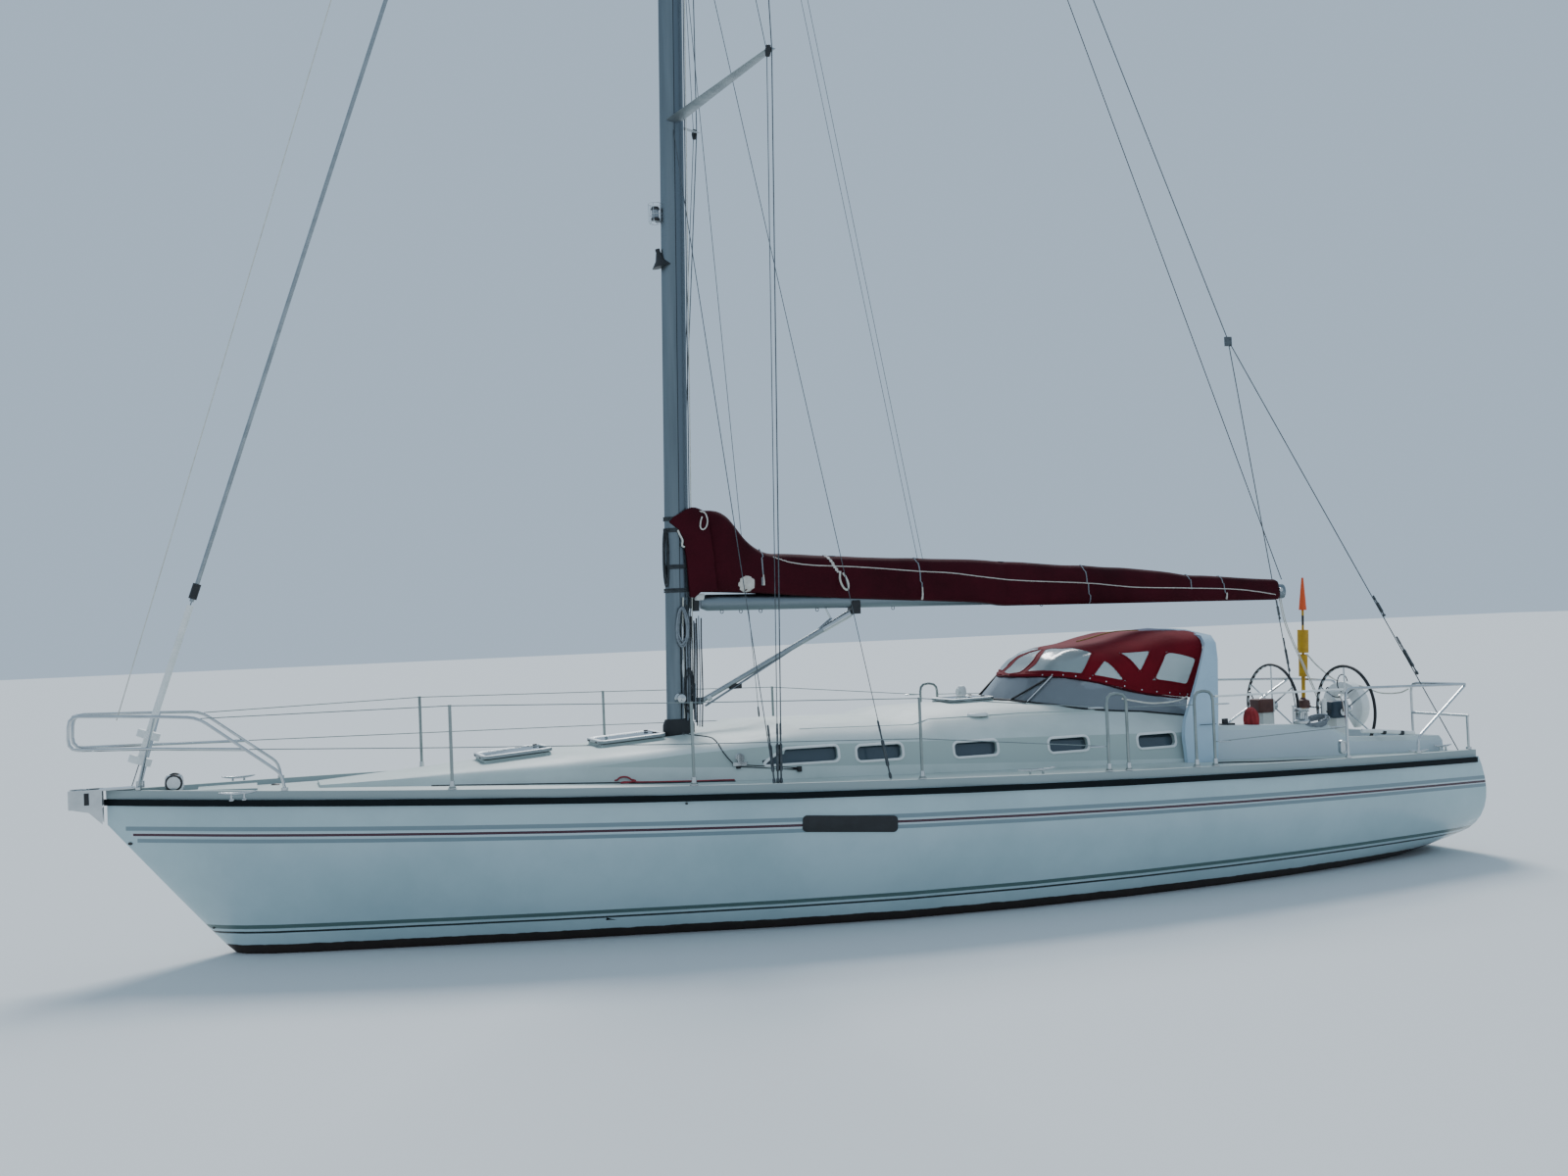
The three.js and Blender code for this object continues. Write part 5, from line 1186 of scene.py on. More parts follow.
def makeHatches():
    for name, x0, x1, half, lift, thick in hatchForm["lids"]:
        plane = lidPlane(x0, x1, lift)
        long = plane[3]
        loop = roundedLoop(0, long, -half, half, hatchForm["corner"], 8)
        middle, size = loop.mean(0), np.array([long, 2 * half])
        wide, top = hatchForm["wide"], thick + 0.004
        # alloy rim: its section runs up the edge, over the top and down to the acrylic
        rings = []
        for inset, high in ((-0.004, 0.002), (-0.006, 0.010), (-0.005, thick + 0.002), (0.0, top), (wide, top),
                            (wide + 0.004, thick + 0.001)):
            flat = middle + (loop - middle) * (size - 2 * inset) / size
            rings.append(onPlane(plane, flat, np.full(len(loop), high)))
        rim = outward(skin(closedRun(np.stack(rings, 1)), caps=False))
        makePiece(name + "_hatch_rim", rim, "alloy", body=name + "_hatch")
        # two handles near the aft edge and the hinge knuckles at the front edge
        small = []
        for y in (-half * hatchForm["handleAcross"], half * hatchForm["handleAcross"]):
            at = onPlane(plane, np.array([[long - hatchForm["handleInset"], y]]), [top])[0]
            small.append(turned(hatchForm["knob"], at, plane[2], 16))
            hinge = onPlane(plane, np.array([[-0.004, y - 0.03], [-0.004, y + 0.03]]), [0.012, 0.012])
            small.append(pipe(hinge, hatchForm["hinge"], 10))
        makePiece(name + "_hatch_fittings", small, "blackPlastic", body=name + "_hatch")


makeHatches()
print("hatch frames are made")

# Rigging fittings: bottlescrews, chainplates, spreader ends and the lines that run aloft
screwForm = {
    # radius and share of the length, from the lower fork to the swage on the wire
    "profile": ((0.0, 0.0), (0.011, 0.0), (0.013, 0.03), (0.012, 0.08), (0.007, 0.10), (0.007, 0.20),
                (0.013, 0.22), (0.014, 0.26), (0.0125, 0.30), (0.0125, 0.56), (0.014, 0.60), (0.013, 0.64),
                (0.007, 0.66), (0.007, 0.80), (0.009, 0.82), (0.008, 0.98), (0.005, 1.0), (0.0, 1.0)),
    "long": 0.46,
    # shrouds that stand on the chainplates: foot x, half width, foot z, top x, half width, top z
    "shrouds": ((-1.085, 1.59, 1.16, -1.01, 0.0625, 6.62), (-1.057, 1.59, 1.16, -0.735, 1.09, 6.965),
                (-1.030, 1.59, 1.16, -0.72, 1.10, 6.97), (-0.135, 1.60, 1.14, -1.12, 0.0625, 9.2)),
    # a backstay leg's ends, and its screws: share of the way down, length
    "legTop": (4.252, 0.0, 4.937), "legFoot": (5.74, 1.15, 0.98), "legScrews": ((0.69, 0.22), (0.83, 0.40)),
}
plateForm = {
    # x, half width, top of the tangs, length of the base, how many tangs
    "plates": ((-1.057, 1.592, 1.135, 0.15, 3), (-0.135, 1.602, 1.120, 0.09, 1)),
    "apart": 0.0275, "baseWide": 0.022, "baseHigh": 0.008, "tangLong": 0.010, "tangWide": 0.004,
    # rubber boot on the lower spreader's end: place, axis, radius and height
    "bootPlace": (-0.727, 1.097, 6.968), "bootAxis": (0.05, 0.15, 1),
    "boot": ((0.0, -0.05), (0.018, -0.045), (0.026, 0.0), (0.018, 0.045), (0.0, 0.05)),
}


def bottlescrew(foot, way, long):
    return turned(np.array(screwForm["profile"]) * (1, long), foot, way, 12)


def chainplate(x, y, top, long, tangs, side):
    # a base bar on the deck's edge with upright tangs on it
    base = float(deckAt(x, y * side))
    wide, high, half = plateForm["baseWide"], plateForm["baseHigh"], plateForm["tangWide"]
    bars = [block((x - long / 2, side * y - wide, base), (x + long / 2, side * y + wide, base + high), high)]
    for k in range(tangs):
        middle = x + (k - (tangs - 1) / 2) * plateForm["apart"]
        fore, aft = middle - plateForm["tangLong"], middle + plateForm["tangLong"]
        near, far = (fore, side * y - half, base + 0.006), (aft, side * y + half, top + 0.035)
        bars.append(block(near, far, half / 2))
    return bars


def makeStandingFittings():
    for name, side in bothSides:
        flip = np.array([1, side, 1])
        screws = []
        for ends in screwForm["shrouds"]:
            foot, head = np.array(ends[:3]) * flip, np.array(ends[3:]) * flip
            screws.append(bottlescrew(foot + (0, 0, -0.01), head - foot, screwForm["long"]))
        top, low = screwForm["legTop"] * flip, screwForm["legFoot"] * flip
        for share, long in screwForm["legScrews"]:
            screws.append(bottlescrew(top + (low - top) * share, top - low, long))
        makePiece("bottlescrews_" + name, screws, "dullSteel")
        plates = [bar for row in plateForm["plates"] for bar in chainplate(*row, side)]
        makePiece("chainplates_" + name, plates, "polishedSteel", bevel=0.002)
        boot = turned(plateForm["boot"], plateForm["bootPlace"] * flip, plateForm["bootAxis"] * flip, 14)
        makePiece("spreader_boots_" + name, boot, "blackPlastic")


makeStandingFittings()

runningLines = {
    # name: body, or none where it is blended from boom to hull; finish, radius, ends and bends
    "topping_lift": ("boom", "darkRope", 0.0045, ((4.735, 0, 2.600), (-0.70, 0, 17.05))),
    "lazy_line_port": (None, "wire", 0.0025,
                       ((0.905, -0.055, 2.880), (0.020, -0.07, 7.85), (mastAt(13.2) + 0.125, -0.03, 13.2))),
    "lazy_line_starboard": (None, "wire", 0.0025,
                            ((0.905, 0.055, 2.880), (0.020, 0.07, 7.85), (mastAt(13.2) + 0.125, 0.03, 13.2))),
    "spare_halyard": ("hull_body", "whiteRope", 0.004, ((-5.765, -0.275, 1.845), (-1.09, -0.02, 17.05))),
    "mast_halyards": ("hull_body", "whiteRope", 0.0045,
                      ((mastAt(1.8) + 0.118, -0.045, 1.80), (mastAt(10.0) + 0.118, -0.045, 10.0))),
    "mast_halyards_dark": ("hull_body", "darkRope", 0.0045,
                           ((mastAt(1.75) + 0.095, -0.068, 1.75), (mastAt(9.0) + 0.10, -0.068, 9.0))),
}
for name, (body, key, radius, points) in runningLines.items():
    line = makePiece(name, pipe(points, radius, 6), key, body=body)
    if body is None:
        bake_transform(line)
print("rigging fittings are made")

# Mast: lashings, lights, cleats and winches
mastGear = {
    # lashings round the mast: heights, and the turns of each
    "lashings": (2.68, 2.88, 3.192, 3.288), "lashTurns": (-0.011, 0.002, 0.014), "lashRadius": 0.006,
    # steaming light: foot height, distance ahead of the mast; profiles are radius and height over the foot
    "lampFoot": 5.845, "lampOut": 0.045,
    "lampBase": ((0, 0), (0.034, 0.0), (0.038, 0.012), (0.034, 0.022), (0.0, 0.024)),
    "lampCap": ((0, 0.09), (0.036, 0.09), (0.038, 0.10), (0.030, 0.115), (0.0, 0.118)),
    "lampLens": ((0, 0.022), (0.030, 0.022), (0.032, 0.055), (0.030, 0.09), (0, 0.09)),
    # cage round it: radius, wire, heights of its rings, how many uprights
    "cage": 0.058, "cageWire": 0.0025, "cageRings": (-0.02, 0.05, 0.14), "cageBars": 6,
    # deck lamp below it: height, axis, radius and distance along the axis
    "deckLampHigh": 5.60, "deckLampAxis": (0.25, 0, -1),
    "deckLamp": ((0.020, 0.0), (0.020, 0.03), (0.044, 0.10), (0.085, 0.15), (0.088, 0.155), (0.0, 0.155)),
    # horn cleats on both sides: heights; along the horn its height, distance from the mast and radius
    "cleats": (2.30, 2.02),
    "horn": ((-0.075, 0.030, 0.005), (-0.03, 0.026, 0.009), (0, 0.024, 0.011), (0.03, 0.026, 0.009),
             (0.075, 0.030, 0.005)),
    "winchHigh": 1.77,
    "winch": ((0, 0), (0.045, 0), (0.045, 0.015), (0.031, 0.03), (0.028, 0.055), (0.036, 0.085), (0.0, 0.09)),
}


def mastRing(z, out, count=40):
    # an ellipse round the mast, a little off its surface
    angle = np.linspace(0, 2 * np.pi, count)
    x = mastAt(z) + (mastForm["long"] / 2 + out) * np.cos(angle)
    return np.stack([x, (mastForm["wide"] / 2 + out) * np.sin(angle), np.full(count, z)], 1)


def makeMastLamps():
    foot = mastGear["lampFoot"]
    x = mastAt(foot) - mastForm["long"] / 2 - mastGear["lampOut"]
    place = (x + 0.005, 0, mastGear["deckLampHigh"])
    deckLamp = turned(mastGear["deckLamp"], place, mastGear["deckLampAxis"], 18)
    forms = [mastGear[key] for key in ("lampBase", "lampCap", "lampLens")]
    base, cap, lens = (turned(form, (x, 0, foot), count=18) for form in forms)
    bracket = block((x, -0.02, foot - 0.012), (x + 0.055, 0.02, foot + 0.002), 0.006)
    makePiece("mast_lamps", [base, cap, bracket, deckLamp], "blackPlastic")
    makePiece("mast_lens", lens, "screen")
    wire, heights = mastGear["cageWire"], mastGear["cageRings"]
    ring = closedRun(ringOf(mastGear["cage"], 24)) + (x, 0)
    cage = [pipe(np.column_stack([ring, np.full(25, foot + high)]), wire, 5) for high in heights]
    for cx, cy in ringOf(mastGear["cage"], mastGear["cageBars"]) + (x, 0):
        cage.append(pipe([(cx, cy, foot + heights[0]), (cx, cy, foot + heights[-1])], wire, 5))
    makePiece("mast_lamp_cage", cage, "polishedSteel")


def makeMastCleats():
    metal = []
    high, out, radius = np.array(mastGear["horn"]).T
    half, z = mastForm["wide"] / 2, mastGear["winchHigh"]
    for side in (-1, 1):
        y = side * (half + 0.002)
        for middle in mastGear["cleats"]:
            x = mastAt(middle) + 0.02
            metal.append(pipe(np.stack([np.full(5, x), y + side * out, middle + high], 1), radius, 8))
            metal.append(pipe([(x, y, middle), (x, y + side * 0.03, middle)], 0.010, 8))
        metal.append(turned(mastGear["winch"], (mastAt(z) - 0.01, side * half, z), (0, side, 0), 20))
    makePiece("mast_cleats", metal, "polishedSteel")


ropes = [pipe(mastRing(z + turn, 0.006), mastGear["lashRadius"], 6)
         for z in mastGear["lashings"] for turn in mastGear["lashTurns"]]
makePiece("mast_lashings", ropes, "darkRope")
makeMastLamps()
makeMastCleats()
print("mast fittings are made")

# Deck gear on both sides
cleatForm = {
    # x, half width, length of the bow, middle, stern and transom cleats
    "places": ((-4.93, 0.76, 0.26), (1.10, 1.66, 0.34), (5.10, 1.36, 0.22), (5.62, 1.08, 0.2)),
    "hornHigh": 0.045, "upturn": 0.012, "horn": 0.0105, "taper": 0.006, "legs": (-0.17, 0.17),
    "leg": ((0, 0), (0.018, 0), (0.018, 0.005), (0.010, 0.012), (0.009, 0.046), (0.0, 0.046)),
}
# the track lies along the foot of the coachroof's wall and rises forward with it
trackForm = {
    "from": -1.22, "to": -0.74, "half": 1.180, "inward": 0.152, "top": 1.203, "rise": 0.106,
    "wide": 0.016, "high": 0.022,
    # car: x, half length, half width; its sheave as radius and distance, over the track
    "car": -1.205, "carLong": 0.06, "carWide": 0.026, "sheaveHigh": 0.074,
    "sheave": ((0, -0.016), (0.034, -0.016), (0.036, -0.010), (0.026, -0.004), (0.026, 0.004), (0.036, 0.010),
               (0.034, 0.016), (0, 0.016)),
}


def cleat(x, y, long):
    # two legs and a horn: a bar whose radius tapers towards upturned ends
    base = float(deckAt(x, y)) + 0.004
    share = np.linspace(-1, 1, 15)
    high = base + cleatForm["hornHigh"] + cleatForm["upturn"] * share ** 2
    horn = np.stack([x + share * long / 2, np.full(15, y), high], 1)
    legs = [turned(cleatForm["leg"], (x + leg * long, y, base - 0.004), count=12)
            for leg in cleatForm["legs"]]
    return joined([pipe(horn, cleatForm["horn"] - cleatForm["taper"] * np.abs(share) ** 3, 10)] + legs)


def makeTrack(name, side):
    # a low bar with a bead along its top, on end stops, with a car on it
    x = np.linspace(trackForm["from"], trackForm["to"], 24)
    forward = trackForm["to"] - x
    y = side * (trackForm["half"] - trackForm["inward"] * forward)
    run = np.stack([x, y, trackForm["top"] + trackForm["rise"] * forward], 1)
    w, h, car = trackForm["wide"], trackForm["high"], trackForm["car"]
    section = [(-w, 0), (w, 0), (w, 0.006), (0.3 * w, 0.008), (0.3 * w, 0.014), (w, 0.016), (w, h), (-w, h),
               (-w, 0.016), (-0.3 * w, 0.014), (-0.3 * w, 0.008), (-w, 0.006)]
    parts = [outward(skin(sweep(run, section, up=(0, 0, 1))))]
    for end, across, z in run[[0, -1]]:
        low, high = (end - 0.018, across - 0.026, z - 0.012), (end + 0.018, across + 0.026, z + 0.030)
        parts.append(block(low, high, 0.006))
    makePiece("jib_track_" + name, parts, "blackPlastic", bevel=0.0015)
    y, z = (float(np.interp(car, x, run[:, k])) for k in (1, 2))
    long, wide = trackForm["carLong"], trackForm["carWide"]
    parts = [block((car - long, y - wide, z + 0.012), (car + long, y + wide, z + 0.040), 0.01),
             turned(trackForm["sheave"], (car, y, z + trackForm["sheaveHigh"]), (0, 1, 0), 20)]
    for inner, outer in ((-0.024, -0.018), (0.018, 0.024)):
        parts.append(block((car - 0.02, y + inner, z + 0.036), (car + 0.02, y + outer, z + 0.10), 0.004))
    makePiece("jib_car_" + name, parts, "polishedSteel", bevel=0.0015)


for name, side in bothSides:
    cleats = [cleat(x, side * y, long) for x, y, long in cleatForm["places"]]
    makePiece("cleats_" + name, cleats, "polishedSteel")
    makeTrack(name, side)

ventForm = {
    # round vents on both sides of the roof: x, half width; radius and height from the edge inwards
    "ring": (0.985, 0.87),
    "vent": ((0, 0), (0.085, 0), (0.089, 0.010), (0.085, 0.022), (0.069, 0.030), (0.063, 0.026), (0.012, 0.034),
             (0, 0.034)),
    # cowl: x, y, height; radius and share of the height; its mouth faces forward
    "cowl": (1.42, 0.35), "cowlHigh": 0.13, "flange": ((0, 0), (0.060, 0), (0.058, 0.008), (0.046, 0.012)),
    "pipe": ((0.044, 0.62), (0.040, 0.82), (0.027, 0.96), (0, 1)), "mouthAxis": (-1, 0, 0.12),
    "mouth": ((0, -0.008), (0.024, -0.006), (0.030, 0.004), (0.034, 0.006), (0.038, 0.0), (0.036, -0.012),
              (0.030, -0.012)),
}


def makeVents():
    x, half = ventForm["ring"]
    vents = [turned(ventForm["vent"], (x, y, float(roofAt(x, y)) - 0.003), count=28) for y in (-half, half)]
    makePiece("roof_vents", vents, "whitePlastic")
    x, y = ventForm["cowl"]
    base, high = float(roofAt(x, y)) - 0.003, ventForm["cowlHigh"]
    profile = ventForm["flange"] + tuple((radius, share * high) for radius, share in ventForm["pipe"])
    cowl = turned(profile, (x, y, base), count=28)
    mouth = turned(ventForm["mouth"], (x - 0.040, y, base + 0.55 * high), ventForm["mouthAxis"], 24)
    makePiece("roof_cowl", [cowl, mouth], "whitePlastic")


makeVents()
print("deck gear is made")

# Kicker and boom fittings
boomFit = {
    # boxes, as low corner, high corner and cut: kicker's head on the boom, block on its tackle, the
    # gooseneck's cheeks
    "castings": (((0.205, -0.061, 2.425), (0.292, 0.061, 2.545), 0.012),
                 ((-0.93, -0.020, 1.822), (-0.82, 0.020, 1.866), 0.008),
                 ((-1.235, -0.032, 2.500), (-1.175, 0.032, 2.590), 0.010)),
    # eyes along the boom's underside: x of each, radius, bar
    "eyes": (-0.97, -0.80, -0.62, -0.10, 0.62, 2.10), "eye": 0.014, "eyeBar": 0.0035,
    # steel: a pin and a sleeve at the kicker's head, the clew's block at the boom's end, a sleeve at its foot
    "pin": ((-0.020, 0, 2.485), (0.021, 0, 2.40)), "headSleeve": ((-0.06, 0, 2.295), (0.20, 0, 2.428)),
    "footSleeve": ((-1.135, 0, 1.748), (-1.10, 0, 1.766)), "clewBlock": (4.67, -0.066, 2.50),
    "sheave": ((0, -0.012), (0.020, -0.012), (0.022, 0), (0.020, 0.012), (0, 0.012)),
    # tackle: two falls below the kicker, x and z
    "tackle": ((-1.15, 1.690), (-0.30, 2.165), (0.03, 2.395)), "fallsApart": 0.014, "fall": 0.007,
    # white fairing at the boom's front end, and the kicker's toggle on the mast
    "fairing": ((-1.215, -0.038, 2.592), (-1.125, 0.038, 2.648), 0.012),
    "toggle": (((-1.275, -0.030, 1.690), (-1.238, 0.030, 1.790), 0.008),
               ((-1.245, -0.008, 1.705), (-1.175, 0.008, 1.765), 0.004)),
}


def makeBoomFittings():
    black = [block(*box) for box in boomFit["castings"]]
    for x in boomFit["eyes"]:
        low = float(boomAt(x)) - boomForm["high"] / 2 - 0.010
        ring = closedRun(ringOf(boomFit["eye"], 12))
        run = np.stack([x + ring[:, 0], 0 * ring[:, 0], low + ring[:, 1]], 1)
        black.append(pipe(run, boomFit["eyeBar"], 6))
    makePiece("boom_eyes", outwardAll(black), "blackPlastic", body="boom", bevel=0.002)
    steel = [pipe(boomFit["pin"], 0.009, 8), pipe(boomFit["headSleeve"], np.array([0.030, 0.036]), 14),
             turned(boomFit["sheave"], boomFit["clewBlock"], (0, 1, 0), 18),
             pipe(boomFit["footSleeve"], 0.028, 14)]
    makePiece("boom_metal", outwardAll(steel), "polishedSteel", body="boom")
    falls = []
    for side in (-1, 1):
        run = [(x, side * boomFit["fallsApart"], z) for x, z in boomFit["tackle"]]
        falls.append(pipe(curved(run, 24), boomFit["fall"], 7))
    makePiece("kicker_tackle", falls, "fleckRope", body="boom")
    makePiece("boom_front_fairing", block(*boomFit["fairing"]), "whitePlastic", body="boom", bevel=0.004)
    makePiece("kicker_bracket", [block(*box) for box in boomFit["toggle"]], "dullSteel", bevel=0.002)


makeBoomFittings()

# Ropes on the mast: falls down its aft part and three hung coils
mastRopes = {
    # by finish: side, x aft of the mast's middle, y off its side, top, foot, radius
    "falls": {
        "whiteRope": ((-1, 0.030, 0.008, 2.62, 1.60, 0.006), (1, 0.070, 0.008, 2.55, 1.60, 0.006)),
        "darkRope": ((-1, 0.048, 0.009, 2.60, 1.58, 0.006), (-1, 0.064, 0.006, 2.56, 1.60, 0.006),
                     (-1, 0.100, 0.006, 2.46, 1.62, 0.006), (-1, 0.120, 0.064, 2.42, 1.58, 0.006),
                     (-1, 0.142, 0.078, 2.44, 1.53, 0.006), (-1, 0.182, 0.086, 2.44, 1.52, 0.006),
                     (1, 0.040, 0.008, 2.60, 1.60, 0.006), (1, 0.150, 0.075, 2.46, 1.53, 0.006)),
        "fleckRope": ((-1, 0.082, 0.010, 2.50, 1.59, 0.006), (-1, 0.165, 0.072, 2.46, 1.52, 0.005),
                      (-1, 0.018, 0.018, 2.40, 1.60, 0.006), (-1, 0.056, 0.022, 2.45, 1.58, 0.006),
                      (-1, 0.092, 0.020, 2.38, 1.60, 0.007), (-1, 0.131, 0.070, 2.40, 1.56, 0.006)),
    },
    # name, x from the mast's middle, y off its side, top, how far it hangs, half width, turns, radius,
    # finish
    "coils": (("halyard_coil_fore", -0.108, 0.012, 3.205, 0.44, 0.026, 5, 0.0070, "darkRope"),
              ("halyard_coil_upper", 0.012, 0.010, 2.540, 0.30, 0.056, 6, 0.0070, "fleckRope"),
              ("halyard_coil_lower", 0.070, 0.010, 2.020, 0.34, 0.050, 6, 0.0060, "darkRope")),
}


def mastFall(side, aft, off, top, low, radius):
    # a rope down the mast's oval side, swaying a few millimetres along it
    z = np.linspace(top, low, 30)
    sway = 0.004 * np.sin(7 * z + 40 * aft)
    spread = np.sqrt(np.maximum(0, 1 - (np.minimum(aft, 0.104) / 0.105) ** 2)) * mastForm["wide"] / 2
    y = side * (spread + radius + off + 0.003 * np.sin(9 * z + 30 * aft))
    return pipe(np.stack([mastAt(z) + aft + sway, y, z], 1), radius, 7)


def makeMastRopes():
    for key, rows in mastRopes["falls"].items():
        makePiece("mast_falls_" + key, [mastFall(*row) for row in rows], key)
    # each coil hangs from its cleat: long loops, a little longer and further out at every turn
    for name, aft, off, top, hang, half, turns, radius, key in mastRopes["coils"]:
        t = np.linspace(0, 1, turns * 22)
        angle = 2 * np.pi * turns * t
        grow = 1 + 0.10 * np.sin(2.3 * angle / np.pi)
        z = top - hang / 2 * (1 - np.cos(angle)) * grow - 0.012 * t
        widening = 0.55 + 0.45 * (1 - np.cos(angle)) / 2
        x = mastAt(top) + aft + half * np.sin(angle) * widening + 0.010 * np.sin(5 * t)
        # it lies on the mast's oval, further out at each turn
        wall = mastForm["wide"] / 2 * math.sqrt(max(0, 1 - (aft / 0.105) ** 2))
        y = -(wall + radius + off) - 0.030 * t - 0.006 * np.sin(angle * 1.5)
        path = np.stack([x, y, z], 1)
        coil = makePiece(name, pipe(path, radius, 8), key)


makeMastRopes()
print("mast ropes are made")

# Loose ropes on deck, at the stern and on the cover, each a free cord of its own path
deckRopes = {
    # name: radius, finish, body, lay, far end, points; a point with two numbers lies on what is under it
    "red_deck_rope": (0.007, "redRope", "hull_body", "loose", "knot", (
        (-1.265, -1.150), (-1.40, -1.128), (-1.55, -1.112), (-1.70, -1.075), (-1.84, -1.052), (-1.96, -1.012),
        (-2.04, -0.985), (-2.10, -0.955), (-2.13, -0.985), (-2.08, -1.02), (-2.02, -0.99), (-2.06, -0.945),
        (-2.13, -0.925), (-2.17, -0.945))),
    "mast_foot_line": (0.005, "darkRope", "hull_body", "loose", "object", (
        (-1.39, -0.155, 1.472), (-1.43, -0.30, 1.488), (-1.475, -0.455, 1.500), (-1.43, -0.66, 1.493),
        (-1.378, -0.859, 1.486), (-1.358, -0.94, 1.470), (-1.344, -1.02, 1.430), (-1.332, -1.070, 1.385),
        (-1.30, -1.106, 1.330), (-1.256, -1.122, 1.277))),
    "jib_car_line": (0.0045, "darkRope", "hull_body", "loose", "bare", (
        (-1.27, -1.19), (-1.45, -1.15), (-1.70, -1.11), (-1.99, -1.04), (-2.12, -0.955), (-2.36, -0.885),
        (-2.65, -0.80), (-3.09, -0.67), (-3.30, -0.60), (-3.52, -0.535))),
    "side_deck_line": (0.0055, "darkRope", "hull_body", "loose", "bare", (
        (2.96, -1.36), (3.20, -1.375), (3.50, -1.40), (3.80, -1.385), (4.10, -1.40), (4.34, -1.37))),
    "buoy_line": (0.008, "whiteRope", "hull_body", "hanging", "object", (
        (5.700, 0.935, 1.822), (5.700, 0.763, 1.697), (5.700, 0.478, 1.556), (5.700, 0.107, 1.508),
        (5.700, -0.167, 1.449), (5.700, -0.434, 1.457), (5.700, -0.565, 1.496))),
    "screen_line": (0.007, "whiteRope", "hull_body", "hanging", "object", (
        (2.935, -1.035, 1.585), (2.84, -1.04, 1.556), (2.722, -1.045, 1.545), (2.555, -1.045, 1.547),
        (2.40, -1.035, 1.575), (2.29, -1.02, 1.600))),
    "hatch_line": (0.005, "darkRope", "hull_body", "loose", "knot", (
        (1.475, -0.20), (1.50, -0.27), (1.55, -0.37), (1.585, -0.46), (1.60, -0.52), (1.615, -0.545),
        (1.60, -0.56), (1.585, -0.54))),
}
coverLoops = {
    # white cord ends at the mast, over the cover's head and under the second tie, in the same columns
    "halyard_end": (0.008, "whiteRope", "hull_body", "hanging", "bare", (
        (-1.352, -0.072, 3.190), (-1.338, -0.080, 3.150), (-1.318, -0.084, 3.105), (-1.322, -0.082, 3.06),
        (-1.302, -0.084, 3.045))),
    "head_loop": (0.006, "whiteRope", "boom", "hanging", "bare", (
        (-1.152, -0.060, 3.350), (-1.115, -0.098, 3.330), (-1.098, -0.108, 3.270), (-1.110, -0.110, 3.215),
        (-1.140, -0.108, 3.190), (-1.162, -0.106, 3.210), (-1.156, -0.104, 3.262), (-1.142, -0.104, 3.300))),
    "tie_loop": (0.009, "whiteRope", "boom", "hanging", "bare", (
        (0.078, -0.140, 2.800), (0.070, -0.146, 2.740), (0.082, -0.148, 2.690), (0.108, -0.148, 2.648),
        (0.138, -0.148, 2.640), (0.146, -0.148, 2.685), (0.128, -0.147, 2.740), (0.100, -0.146, 2.785))),
}
# hank on the port winch: middle, how far it reaches along, across and up, turns, radius
hankForm = {"middle": (4.255, -1.03, 1.262), "along": 0.115, "across": 0.055, "up": 0.034, "turns": 8,
            "radius": 0.006}


def standingAt(x, y):
    # height of the deck or, inside its outline, of the coachroof or its wall
    half, _, shoulder = (float(v) for v in roofSideAt(x))
    deck = float(deckAt(x, y))
    if not -4.33 < x < 2.95 or abs(y) >= half:
        return deck
    inner = half - min(roofForm["shoulder"], half * 0.15)
    if abs(y) <= inner:
        return max(deck, float(roofAt(x, abs(y))))
    return max(deck, shoulder + 0.005 - (abs(y) - inner) / (half - inner) * (shoulder + 0.005 - deck))


def makeRope(name, radius, key, body, path):
    rope = makePiece(name, pipe(path, radius, 8), key, body=body)


def makeDeckRopes():
    for name, (radius, key, body, lay, farEnd, points) in deckRopes.items():
        path = curved([(*point, 0)[:3] for point in points], 24 + 10 * len(points))
        if lay == "loose":
            path[:, 2] = [max(z, standingAt(x, y) + radius * 1.1) for x, y, z in path]
        # where a knotted rope crosses itself it lies one thickness higher
        if farEnd == "knot":
            path[:, 2] += radius * 2.2 * np.clip((np.linspace(0, 1, len(path)) - 0.62) / 0.2, 0, 1)
        makeRope(name, radius, key, body, path)
    # loops that lie over the winch drum's side and drift outwards
    (x, y, z), turns = hankForm["middle"], hankForm["turns"]
    t = np.linspace(0, 1, turns * 20)
    angle = 2 * np.pi * turns * t
    reach = hankForm["along"] + 0.02 * np.sin(3 * t * 6.28)
    path = np.stack([x + reach * np.cos(angle) + 0.02 * np.sin(0.5 * angle),
                     y - hankForm["across"] * np.sin(angle) - 0.03 * t,
                     z + hankForm["up"] * np.cos(angle + 0.8) + 0.055 * t], 1)
    makeRope("winch_hank", hankForm["radius"], "fleckRope", "hull_body", path)


makeDeckRopes()
for name, (radius, key, body, lay, farEnd, points) in coverLoops.items():
    makeRope(name, radius, key, body, curved(points, 60))
print("loose ropes are made")

# Cockpit gear: wheels, cases, levers, winches, clutches and vents on both sides
helmForm = {
    # wheel: x, half width, height, radius; leather round its rim: radius, depth of its stitches
    "wheel": (4.97, 0.56, 1.34, 0.41), "leather": 0.0148, "stitch": 0.0006,
    # instrument case: x from and to, cut; half width, low, high and finish by side
    "case": (4.752, 4.934), "cases": {"port": (0.105, 1.272, 1.428, "blueCase"),
                                      "starboard": (0.098, 1.275, 1.412, "brownCase")},
    # engine lever: disc's radius and height, its x, distance from the wheel's middle and height; then the bar
    "disc": ((0, -0.012), (0.036, -0.012), (0.036, 0.012), (0, 0.012)), "discPlace": (4.85, 0.112, 1.33),
    "bar": ((4.85, 0.13, 1.33), (4.835, 0.135, 1.42), (4.80, 0.135, 1.49)), "barRadius": 0.008,
}
